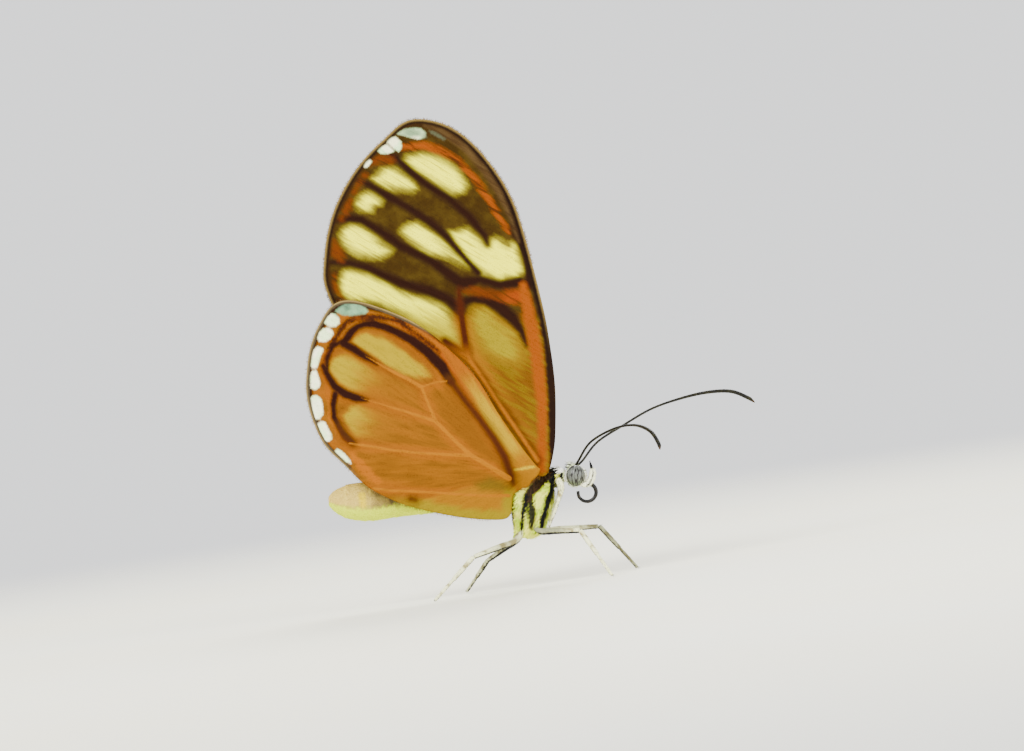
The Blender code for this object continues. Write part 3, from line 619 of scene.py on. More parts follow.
# A marking's shapes are filled where their points have two numbers, strokes where three.
FOREWING_PATTERN = {
    "windows": [        # the seven pale panes
        [(-11.52, 24.88), (-11.12, 25.2), (-10.4, 25.44), (-9.84, 25.52), (-9.04, 25.44), (-8.32, 25.2),
         (-7.6, 24.88), (-7.04, 24.4), (-6.56, 23.76), (-6.24, 23.2), (-6.16, 22.8), (-6.4, 22.4),
         (-6.8, 22.16), (-7.44, 22.16), (-8, 22.48), (-8.64, 22.88), (-9.36, 23.36), (-10.16, 23.84),
         (-10.96, 24.4)],
        [(-13.92, 23.44), (-13.52, 23.84), (-13.04, 24.24), (-12.48, 24.44), (-11.92, 24.32),
         (-11.36, 23.92), (-10.8, 23.52), (-10.4, 23.12), (-10.24, 22.72), (-10.4, 22.4), (-11.12, 22.4),
         (-12, 22.48), (-12.8, 22.72), (-13.52, 23.04)],
        [(-15.2, 21.36), (-15.04, 21.84), (-14.64, 22.24), (-14.16, 22.44), (-13.68, 22.32), (-13.2, 22),
         (-12.88, 21.68), (-13.04, 21.36), (-13.52, 21.2), (-13.76, 20.8), (-14.32, 20.72), (-14.8, 20.88)],
        [(-16.4, 19.2), (-16.08, 19.6), (-15.6, 19.92), (-15.12, 19.84), (-14.56, 19.6), (-14, 19.28),
         (-13.44, 18.8), (-12.96, 18.32), (-12.48, 18), (-12.16, 17.68), (-12.56, 17.28), (-13.2, 17.04),
         (-14, 17.04), (-14.8, 17.2), (-15.6, 17.6), (-16.16, 18.08), (-16.4, 18.72)],
        [(-16.56, 15.12), (-16.4, 15.68), (-16, 16.16), (-15.52, 16.28), (-14.8, 16.16), (-14, 15.92),
         (-13.2, 15.44), (-12.4, 15.04), (-11.6, 14.56), (-10.8, 14.24), (-10, 14.08), (-9.2, 13.84),
         (-8.4, 13.52), (-7.84, 13.04), (-7.52, 12.48), (-7.28, 11.92), (-7.04, 11.36), (-6.88, 10.32),
         (-7.68, 10.48), (-9.2, 11.04), (-11.2, 12.32), (-13.2, 13.28), (-15.6, 13.6), (-16.4, 14.16)],
        [(-11.6, 19.2), (-11.36, 19.6), (-10.8, 19.92), (-10.16, 20), (-9.52, 19.6), (-8.88, 19.2),
         (-8.32, 18.72), (-7.76, 18.24), (-7.2, 17.76), (-6.64, 17.28), (-6.16, 16.88), (-5.76, 16.4),
         (-6, 16.16), (-6.56, 16.48), (-7.6, 17.04), (-8.4, 17.2), (-9.2, 17.28), (-9.84, 17.6),
         (-10.4, 18), (-10.96, 18.48)],
        [(-7.68, 19.2), (-7.2, 19.28), (-6.64, 19.44), (-6.16, 19.44), (-5.68, 19.12), (-5.2, 18.8),
         (-4.88, 18.56), (-4.64, 18.24), (-4.32, 18.72), (-3.92, 18.8), (-3.6, 18.64), (-3.28, 18.32),
         (-2.96, 18.16), (-2.64, 18.4), (-2.24, 18.24), (-2, 17.76), (-1.84, 17.12), (-1.68, 16.48),
         (-1.6, 16), (-1.92, 15.6), (-2.4, 15.44), (-2.96, 15.36), (-3.36, 15.2), (-3.84, 15.28),
         (-4.4, 15.52), (-4.96, 15.76), (-5.44, 16.08), (-6, 16.48), (-6.48, 17.04), (-6.96, 17.68),
         (-7.44, 18.32)]],
    "cell_glow": [      # the lit middle of the cell
        [(-6, 12.32), (-5.68, 13.36), (-5.04, 13.44), (-4.4, 13.28), (-4.08, 12.88), (-3.6, 12.24),
         (-2.96, 11.68), (-2.4, 11.2), (-2, 10.56), (-1.76, 9.76), (-1.84, 8.96), (-2.32, 8.64),
         (-3.6, 8.8), (-4.88, 9.6), (-5.68, 10.72)]],
    "spots": [          # chalk spots round the tip
        [(-11.84, 27.04), (-11.2, 27.4), (-10.4, 27.52), (-9.92, 27.44), (-9.52, 27.12), (-9.44, 26.72),
         (-10.16, 26.6), (-10.96, 26.8)],
        [(-12.64, 26.4), (-12.32, 26.72), (-11.92, 26.8), (-11.52, 26.4), (-11.44, 25.92), (-11.68, 25.6),
         (-12.08, 25.84)],
        [(-13.36, 25.68), (-13.04, 26), (-12.64, 26.16), (-12.24, 25.84), (-12.08, 25.6), (-12.56, 25.44),
         (-13.12, 25.44)],
        [(-14.48, 24.4), (-14.32, 24.8), (-14, 24.96), (-13.84, 24.8), (-14.08, 24.48), (-14.32, 24.32)],
        [(-9.28, 27.28), (-8.88, 27.24), (-8.4, 26.96), (-7.92, 26.64), (-8.08, 26.48), (-8.56, 26.76),
         (-9.12, 27.04)]],
    "vein_bands": [     # dark bands along the veins
        [(-12.88, 25.76, 0.2), (-11.92, 25.12, 0.28), (-10.64, 23.92, 0.32), (-9.2, 22.8, 0.32),
         (-7.6, 21.76, 0.32), (-6, 20.4, 0.32), (-4.88, 18.96, 0.28), (-4.56, 18.16, 0.2)],
        [(-15.44, 23.52, 0.2), (-14, 22.96, 0.28), (-12.4, 21.92, 0.32), (-10.8, 21.04, 0.32),
         (-9.2, 20, 0.32), (-7.84, 18.8, 0.32), (-6.56, 17.28, 0.28), (-5.36, 15.92, 0.32)],
        [(-17.2, 20, 0.2), (-15.6, 20.24, 0.32), (-14.64, 20.16, 0.32), (-13.04, 19.2, 0.36),
         (-11.44, 18.08, 0.36), (-9.04, 16.8, 0.36), (-6.8, 15.2, 0.48)],
        [(-17.36, 16.8, 0.24), (-15.6, 16.72, 0.28), (-14, 16.24, 0.32), (-11.6, 15.12, 0.36),
         (-9.2, 14.48, 0.4), (-7.76, 13.84, 0.4), (-6.8, 13.12, 0.48)],
        [(-2.9, 19.3, 0.2), (-2.3, 18.75, 0.16), (-1.75, 18.2, 0.16), (-1.36, 17.2, 0.24),
         (-1.25, 16.2, 0.28), (-1.3, 15, 0.4)],
        [(-6.64, 15.12, 0.56), (-5.2, 15.36, 0.32), (-3.6, 14.96, 0.36), (-2, 15.2, 0.44)],
        [(-6.72, 13.52, 0.4), (-5.68, 13.84, 0.36), (-4.72, 13.76, 0.44), (-3.6, 13.2, 0.56),
         (-2.64, 12.32, 0.52), (-1.92, 11.36, 0.32), (-1.44, 10.16, 0.2)],
        [(-16.56, 13.84, 0.16), (-15.6, 13.52, 0.12), (-14.16, 13.04, 0.12)]],
    "border": [         # dark front and outer edge
        [(0.4, 0.2, 0.08), (0.62, 1.4, 0.26), (0.64, 2.56, 0.36), (0.6, 5.76, 0.36), (0.32, 9.76, 0.36),
         (-0.32, 13.36, 0.4), (-1.12, 16.32, 0.44), (-1.92, 18.96, 0.48), (-2.72, 21.36, 0.52),
         (-3.76, 23.52, 0.52), (-5.04, 25.2, 0.52), (-6.4, 26.48, 0.48), (-7.76, 27.28, 0.48),
         (-9.2, 27.84, 0.44), (-10.64, 27.92, 0.32), (-11.92, 27.44, 0.36), (-13.2, 26.16, 0.4),
         (-14.32, 24.96, 0.36), (-15.2, 23.76, 0.32), (-16, 22.16, 0.32), (-16.88, 20.56, 0.32),
         (-17.36, 18.72, 0.32), (-17.52, 16.8, 0.32), (-17.44, 14.96, 0.36), (-16.96, 13.76, 0.32)]],
    "apex_amber": [     # amber behind the border at the tip
        [(-11.44, 26, 0.24), (-10.64, 26.04, 0.32), (-9.68, 26.08, 0.32), (-8.4, 25.68, 0.32),
         (-6.96, 24.88, 0.28), (-5.68, 23.52, 0.28), (-4.56, 21.92, 0.28), (-3.6, 20.24, 0.24),
         (-2.88, 19.12, 0.16)]],
    "rust": [           # rusty ends of the dark bands
        [(-13.92, 24.8, 0.24), (-13.2, 25.04, 0.4), (-12.4, 24.88, 0.36)],
        [(-15.28, 22.4, 0.2), (-14.64, 23.44, 0.32), (-14.32, 23.68, 0.2)],
        [(-16.24, 20.24, 0.2), (-15.76, 21.28, 0.32), (-15.52, 21.68, 0.16)],
        [(-16.88, 18.4, 0.2), (-16.64, 17.6, 0.48), (-16.24, 17.12, 0.32)],
        [(-16.8, 15.68, 0.16), (-16.72, 14.72, 0.28), (-16.24, 13.92, 0.2)],
        [(-6.56, 14.4, 0.12), (-5.36, 14.48, 0.36), (-4, 14.08, 0.32), (-3.12, 14, 0.48),
         (-2.16, 14, 0.56)]],
    "costal_amber": [   # amber along the front edge
        [(-0.3, 0.1, 0.3), (-0.3, 1.6, 0.36), (-0.24, 3.76, 0.36), (-0.28, 5.76, 0.4), (-0.48, 7.76, 0.44),
         (-0.76, 9.76, 0.48), (-1.16, 12, 0.48), (-1.52, 13.76, 0.44), (-1.76, 14.88, 0.32)]],
    "stem": [           # the thick middle vein, lit near the root
        [(-6.88, 14.56, 0.16), (-6.72, 12.8, 0.28), (-6.4, 10.72, 0.28), (-6.16, 9.12, 0.32),
         (-5.04, 7.52, 0.28), (-3.92, 5.76, 0.28), (-2.64, 3.92, 0.28), (-1.36, 2.08, 0.28),
         (-0.64, 0.96, 0.32)],
        [(-6.32, 9.2, 0.32), (-7.2, 9.84, 0.32), (-8, 10.48, 0.24)]],
    "tan_streak": [     # tan dust along the front of the tip
        [(-9.6, 27.7, 0.1), (-8.2, 27.2, 0.2), (-6.4, 25.9, 0.26), (-4.9, 24.2, 0.26), (-3.6, 22.2, 0.22),
         (-2.7, 20.2, 0.12), (-2.1, 18.4, 0.04)]]}
EDGE_STEP = 0.12            # spacing of the outline's points
SHEET_GRAIN = 0.135         # spacing of the points within, set like the cells of a honeycomb
ROW_STEP = SHEET_GRAIN * 0.866
EDGE_CLEAR = 0.08           # how far the points within keep from the outline
SHEET_HALF = 0.045          # half thickness of the membrane
VEIN_HALF = 0.075           # half thickness on a vein
FRINGE_LENGTH = 0.17
FRINGE_ROOT = 0.06          # how far inside the outline the fringe is rooted
FRINGE_SCALE = FRINGE_LENGTH * 0.00125      # its scales in metres, a quarter longer
FOREWING_PLANE = 0.5        # the forewings' distance from the middle of the insect
HINDWING_PLANE = 1.5
ROOT_SPLAY = 0.72           # how much farther out the sheets stand at their roots
HINDWING_DIP = 1.1          # how far the hindwing's lower root turns in to the thorax


def stand_off(plane, x, z):
    """How far a sheet lies from the middle plane: splayed at the root, faintly waved."""
    root = ROOT_SPLAY * np.exp(-(np.maximum(0.0, z - 0.3) / 4.2) ** 2)
    if plane == HINDWING_PLANE:
        root = root - HINDWING_DIP * np.exp(-((x + 2.1) ** 2 + (z + 1.5) ** 2) / 1.5)
    wave = 0.09 * (1.0 + np.sin(0.45 * x + 0.3 * z))
    return plane + root + wave * np.minimum(1.0, np.maximum(0.0, z) / 6.0)


def edge_line(stations, inset):
    """A wing's outline, drawn in a little to leave room for the fringe, and its outward way."""
    line = np.array(through(stations, EDGE_STEP, closed=True))
    run = np.roll(line, -1, axis=0) - np.roll(line, 1, axis=0)
    run /= np.linalg.norm(run, axis=1)[:, None]
    outward = np.stack([run[:, 1], -run[:, 0]], axis=1)
    area = np.sum(line[:, 0] * np.roll(line[:, 1], -1) - np.roll(line[:, 0], -1) * line[:, 1])
    if area < 0:
        outward = -outward
    return line - outward * inset, outward


def fill_of(points, polygon):
    """Signed distance to a filled outline, negative inside."""
    ring = [(x, z, 0.0) for x, z in polygon]
    gap = way_to(points, ring + ring[:1])
    odd = np.zeros(len(points), dtype=bool)
    for (ax, az), (bx, bz) in zip(polygon, polygon[1:] + polygon[:1]):
        if az != bz:
            crossing = (az > points[:, 1]) != (bz > points[:, 1])
            odd ^= crossing & (points[:, 0] < ax + (points[:, 1] - az) / (bz - az) * (bx - ax))
    return np.where(odd, -gap, gap)


def gap_to(points, shapes):
    """Signed distance to a marking, whether its shapes are filled or strokes."""
    if len(shapes[0][0]) == 2:
        return np.min([fill_of(points, shape) for shape in shapes], axis=0)
    return strokes(points, shapes)


def sheet_uv(x, z):
    """A place in the UV map's first half, which holds a sheet's right face and its fringe."""
    return 0.01 + (x + 20.0) / 45.0, (z + 5.0) / 35.0


def sheet(name, outline, veins, pattern, plane, side, lie, finish):
    """A wing as one closed sheet whose points keep their distance to every marking."""
    line, outward = edge_line(outline, FRINGE_LENGTH * 0.6)
    low, high = line.min(axis=0), line.max(axis=0)
    grid = np.array([(x + (k % 2) * SHEET_GRAIN / 2, z)
                     for k, z in enumerate(np.arange(low[1], high[1], ROW_STEP))
                     for x in np.arange(low[0], high[0], SHEET_GRAIN)])
    grid = grid[fill_of(grid, [tuple(p) for p in line]) < -EDGE_CLEAR]
    verts, _, faces, _, _, _ = geometry.delaunay_2d_cdt(
        [Vector(p) for p in (*line, *grid)], [], [list(range(len(line)))], 1, 1e-6)
    flat = np.array([tuple(v) for v in verts])
    x, z = flat[:, 0], flat[:, 1]
    vein = strokes(flat, [[(*p, 0.0) for p in through(stations, 0.3)] for stations in veins.values()])
    rim = strokes(flat, [[(*p, 0.0) for p in np.vstack([line, line[:1]])]])
    middle = side * stand_off(plane, x, z)
    half = SHEET_HALF + (VEIN_HALF - SHEET_HALF) * np.exp(-(vein / 0.13) ** 2)
    half *= 0.5 + 0.5 * np.clip(rim / 0.3, 0, 1)
    places = np.concatenate([np.stack([x, middle + half, z], axis=1),
                             np.stack([x, middle - half, z], axis=1)])
    edges = {edge for face in faces for edge in zip(face, face[1:] + face[:1])}
    count = len(flat)
    walls = [(a, b, b + count, a + count) for face in faces for a, b in zip(face, face[1:] + face[:1])
             if (b, a) not in edges]
    mesh = bpy.data.meshes.new(name)
    mesh.from_pydata(places, [], [face[::-1] for face in faces]
                     + [[i + count for i in face] for face in faces] + walls)
    mended(mesh)
    measures = {marking: gap_to(flat, shapes) for marking, shapes in pattern.items()}
    along, across = lie(x, z)
    measures.update(vein=vein, height=z, along=along, across=across, rim=rim, shag=np.ones(count))
    for measure, values in measures.items():
        store(mesh, measure, np.tile(values, 2))
    corners = corners_of(mesh)
    right, up = sheet_uv(places[corners, 0], places[corners, 2])
    lay_uv(mesh, right + 0.5 * (corners < count), up)
    return dressed(name, mesh, finish), line, outward


def streaks_of(f, fine, long):
    """Soft grey streaks that run with the veins, so many to the millimetre across them."""
    where = f.node("ShaderNodeCombineXYZ", {}, {
        0: f.field("along") * long, 1: f.field("across") * fine})
    return f.node("ShaderNodeTexNoise", {}, {"Vector": where, "Scale": 1.0, "Detail": 2.0})


def dusted(f):
    """The colour laid so far, with single scales and thin rows of them a little darker."""
    speck = f.noise(15.0, 1.0) * 0.6 + streaks_of(f, 6.0, 0.8) * 0.4
    return f.dimmed(0.75, f.blend((0.45, 0.44, 0.42, 1.0), CLEAR, f.ramp(speck, 0.25, 0.55)))


def scaled_relief(f):
    """Rows of overlapping scales and the soft ridge that a vein makes."""
    cells = f.node("ShaderNodeTexVoronoi", {}, {
        "Vector": f.place((1.0, 1.0, 0.55)), "Scale": 11.0, "Randomness": 0.55})
    ridge = f.inside(f.field("vein"), 0.16)
    f.relief(cells * 0.4 + ridge * 0.7 + f.noise(2.2, 2.0) * 0.9, 0.00003, 0.8)


def forewing_colours(f):
    """Layers from the ground up, each inside its own drawn marking."""
    streak = streaks_of(f, 2.6, 0.35) - 0.5
    ragged = (f.noise(7.0, 2.0) - 0.5) * 0.2 + streak * 0.5
    fine = (f.noise(8.0, 2.0) - 0.5) * 0.1
    along = f.field("along")
    height = f.field("height")
    f.colour = f.blend(paint(0.028, 0.013, 0.0006), paint(0.047, 0.027, 0.0022),
                       f.ramp(f.noise(0.9, 3.0), 0.35, 0.7))
    cell = f.blend(paint(0.11, 0.041, 0.0006), paint(0.132, 0.073, 0.0006), f.ramp(streak, -0.1, 0.1))
    near_stem = f.ramp(f.field("stem") + streak, 1.3, 0.1) * f.ramp(height, 5.0, 9.0, 0.35, 1.0)
    cell = f.blend(cell, paint(0.232, 0.083, 0.0006), near_stem)
    f.wash(cell, f.ramp(height + streak * 1.2, 13.0, 11.8))
    glow = f.blend(paint(0.179, 0.096, 0.0006), paint(0.219, 0.164, 0.0006),
                   f.ramp(f.field("cell_glow") + streak * 1.6, 0.1, -0.9))
    f.mark(glow, "cell_glow", 0.8, ragged * 2.0 - 0.15)
    pane = f.blend(paint(0.251, 0.212, 0.012), paint(0.884, 0.856, 0.0006),
                   f.ramp(f.field("windows") + streak * 0.9, 0.0, -0.7))
    pane = f.blend(pane, paint(0.241, 0.167, 0.0006), f.ramp(height + streak * 2.0, 13.8, 11.4) * 0.8)
    pane = f.blend(pane, paint(0.22, 0.182, 0.0046), f.ramp(streaks_of(f, 5.0, 0.25), 0.55, 0.72) * 0.6)
    f.mark(pane, "windows", 0.4, ragged * 1.2)
    f.mark(paint(0.013, 0.0028, 0.0006), "vein_bands", 0.28, ragged * 0.5)
    rust = f.blend(paint(0.1, 0.02, 0.0006), paint(0.216, 0.033, 0.0006), f.ramp(along, 10.5, 9.0))
    rust = f.blend(rust, paint(0.04, 0.011, 0.0006), f.ramp(streak, 0.05, 0.2) * 0.8)
    f.mark(rust, "rust", 0.36, ragged * 1.4, 0.9)
    apex = f.blend(paint(0.2, 0.039, 0.0006), paint(0.064, 0.013, 0.0006), f.ramp(streak, 0.0, 0.18))
    f.mark(apex, "apex_amber", 0.26, ragged + 0.04)
    f.mark(paint(0.207, 0.043, 0.0006), "costal_amber", 0.26, ragged * 0.6)
    f.mark(paint(0.045, 0.0086, 0.0006), "stem", 0.25, streak * 0.5 - 0.15, 0.6)
    stem = f.blend(paint(0.271, 0.083, 0.0006), paint(0.039, 0.0062, 0.0006), f.ramp(height, 8.6, 10.6))
    f.mark(stem, "stem", 0.14, f.ramp(height, 8.6, 10.2, 0.14, 0.06) + fine)
    edging = f.blend(paint(0.01, 0.0028, 0.0006), paint(0.023, 0.0087, 0.0006), f.ramp(along, 16.5, 21.0))
    f.mark(edging, "border", 0.2, ragged * 0.5)
    tan = f.blend(paint(0.036, 0.016, 0.0037), paint(0.077, 0.044, 0.013), f.ramp(streak, -0.25, 0.25))
    f.mark(tan, "tan_streak", 0.24, ragged * 0.6)
    chalk = f.blend(paint(0.621, 0.844, 0.414), paint(0.93, 0.93, 0.554), f.ramp(f.noise(1.3), 0.4, 0.55))
    grey = f.blend(paint(0.165, 0.242, 0.13), paint(0.379, 0.528, 0.27), f.ramp(f.noise(1.0), 0.3, 0.7))
    chalk = f.blend(chalk, grey, f.ramp(height, 26.5, 27.0))
    last_spot = f.ramp(along, 22.0, 21.5) * f.ramp(height, 26.0, 26.4)
    f.mark(f.blend(chalk, paint(0.057, 0.061, 0.032), last_spot), "spots", 0.12, fine * 1.6)
    outer = f.ramp(along, 4.0, 8.0)
    f.mark(paint(0.0049, 0.001, 0.0006), "rim", 0.1, fine - 0.36, outer * 0.7)
    hem = f.blend(paint(0.05, 0.031, 0.0084), paint(0.184, 0.12, 0.03), f.ramp(f.field("rim"), 0.2, 0.04))
    f.mark(hem, "rim", 0.05, fine - 0.22, outer)
    return dusted(f)


fore_finish = Finish("forewing scales", Roughness=0.6, Specular_IOR_Level=0.05)
fore_finish.feed("Base Color", forewing_colours(fore_finish))
scaled_relief(fore_finish)


def one_each(add, read, keep, given):
    """One scale on every point given, pointing outward."""
    aim = add("FunctionNodeAlignRotationToVector", {"axis": "X"}, {"Vector": read("outward")})
    swing = add("FunctionNodeRandomValue", {"data_type": "FLOAT_VECTOR"}, {
        0: (-0.7, -0.1, -0.2), 1: (0.7, 0.1, 0.2), "Seed": given["Seed"]})
    return given["Geometry"], aim, swing, given["Length"], (0.75, 1.2)


FRINGE_TREE = blade_tree("fringe of scales", (), one_each)
fringe_finish = Finish("fringe scales", Roughness=0.65, Specular_IOR_Level=0.12)
fringe_finish.feed("Base Color", fringe_finish.blend(
    paint(0.226, 0.115, 0.029), paint(0.058, 0.03, 0.011),
    fringe_finish.ramp(fringe_finish.noise(1.4, 2.0), 0.45, 0.6)))
fringe_finish.relief(fringe_finish.noise(20.0), 0.00001)


def fringe(name, line, outward, plane, side, kept, seed):
    """Scale fringe along the part of a rim that kept() leaves, two scales for each point."""
    points, aims, uvs = [], [], []
    for i in range(len(line)):
        if not kept(*line[i]):
            continue
        for part in (0.0, 0.5):
            ahead = line[(i + 1) % len(line)] - line[i]
            x, z = line[i] + ahead * part - outward[i] * FRINGE_ROOT
            points.append((x, side * stand_off(plane, x, z), z))
            aims.append(STAND.to_3x3().normalized() @ Vector((outward[i][0], 0.0, outward[i][1])))
            uvs.append((*sheet_uv(x, z), 0.0))
    mesh = bpy.data.meshes.new(name)
    mesh.from_pydata(points, [], [])
    mesh.transform(STAND)
    for label, rows in (("outward", aims), ("root_uv", uvs)):
        layer = mesh.attributes.new(label, "FLOAT_VECTOR", "POINT")
        layer.data.foreach_set("vector", np.array(rows, dtype=np.float32).ravel())
    return grown(name, mesh, FRINGE_TREE, Blade=BLADE, Finish=fringe_finish.material,
                 Length=FRINGE_SCALE, Width=0.5, Seed=seed)


def with_the_veins(x, z):
    """How far along and across the forewing's slanting veins a point lies."""
    return 0.5 * z - 0.86 * x, 0.86 * z + 0.5 * x


for word, side in (("right", -1), ("left", 1)):
    wing_piece, line, outward = sheet(
        "forewing_sheet_" + word, FOREWING_OUTLINE, FOREWING_VEINS, FOREWING_PATTERN,
        FOREWING_PLANE, side, with_the_veins, fore_finish)
    hairs = fringe("forewing_fringe_" + word, line, outward, FOREWING_PLANE, side,
                   lambda x, z: z > 4.0 and x < -1.0 - 0.28 * max(0.0, z - 20.0), 11 + side)
    for piece in (wing_piece, hairs):
        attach(piece, "root")
    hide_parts("forewing_" + word)


# Hindwings: sheets of the same scaled membrane as the forewings, lying outside them, with a
# fringe along the rear edge; rooted lower on the thorax.
HINDWING_OUTLINE = [
    (-0.6, 0.6), (-1.8, 2.1), (-3.6, 4.7), (-5.4, 7.6), (-7.6, 9.9), (-10.0, 11.8),
    (-12.8, 13.1), (-15.4, 13.8), (-17.0, 13.4), (-18.1, 11.8), (-18.8, 10.0),
    (-19.1, 8.0), (-19.1, 6.1), (-18.6, 4.1), (-17.6, 2.1), (-16.0, 0.5), (-14.2, -1.2),
    (-11.9, -2.4), (-9.6, -3.1), (-6.8, -3.65), (-4.6, -3.85), (-3.2, -3.8), (-2.65, -3.35),
    (-2.52, -2.5), (-2.4, -1.85), (-1.9, -1.45), (-1.3, -1.2), (-1.0, -0.75), (-0.5, -0.25),
    (-0.3, 0.3)]
HINDWING_VEINS = {
    "subcosta": [(-1.0, 0.5), (-3.6, 4.0), (-5.6, 7.0), (-8.0, 9.6), (-11.2, 11.6), (-16.6, 13.0)],
    "radius": [(-1.9, -0.1), (-3.8, 1.9), (-6.0, 5.3), (-7.7, 7.3), (-8.4, 8.7),
               (-10.4, 10.4), (-12.8, 11.9), (-17.6, 12.3)],
    "media_1": [(-7.7, 7.3), (-8.7, 7.5), (-10.0, 9.2), (-12.4, 10.9), (-18.6, 10.6)],
    "media_2": [(-9.9, 6.7), (-12.4, 8.2), (-15.6, 9.4), (-19.0, 9.2)],
    "media_3": [(-8.7, 4.1), (-11.6, 4.9), (-14.8, 5.8), (-19.0, 6.5)],
    "cubital_1": [(-6.2, 1.4), (-9.2, 1.5), (-13.2, 2.0), (-17.8, 2.5)],
    "cubitus": [(-2.2, -0.6), (-4.4, 0.5), (-6.2, 1.4), (-8.7, 4.1), (-9.9, 6.7)],
    "cell_end": [(-9.9, 6.7), (-8.8, 7.0), (-7.7, 7.3)],
    "anal": [(-2.6, -1.5), (-6.0, -1.8), (-10.0, -1.5), (-14.0, -1.2)]}
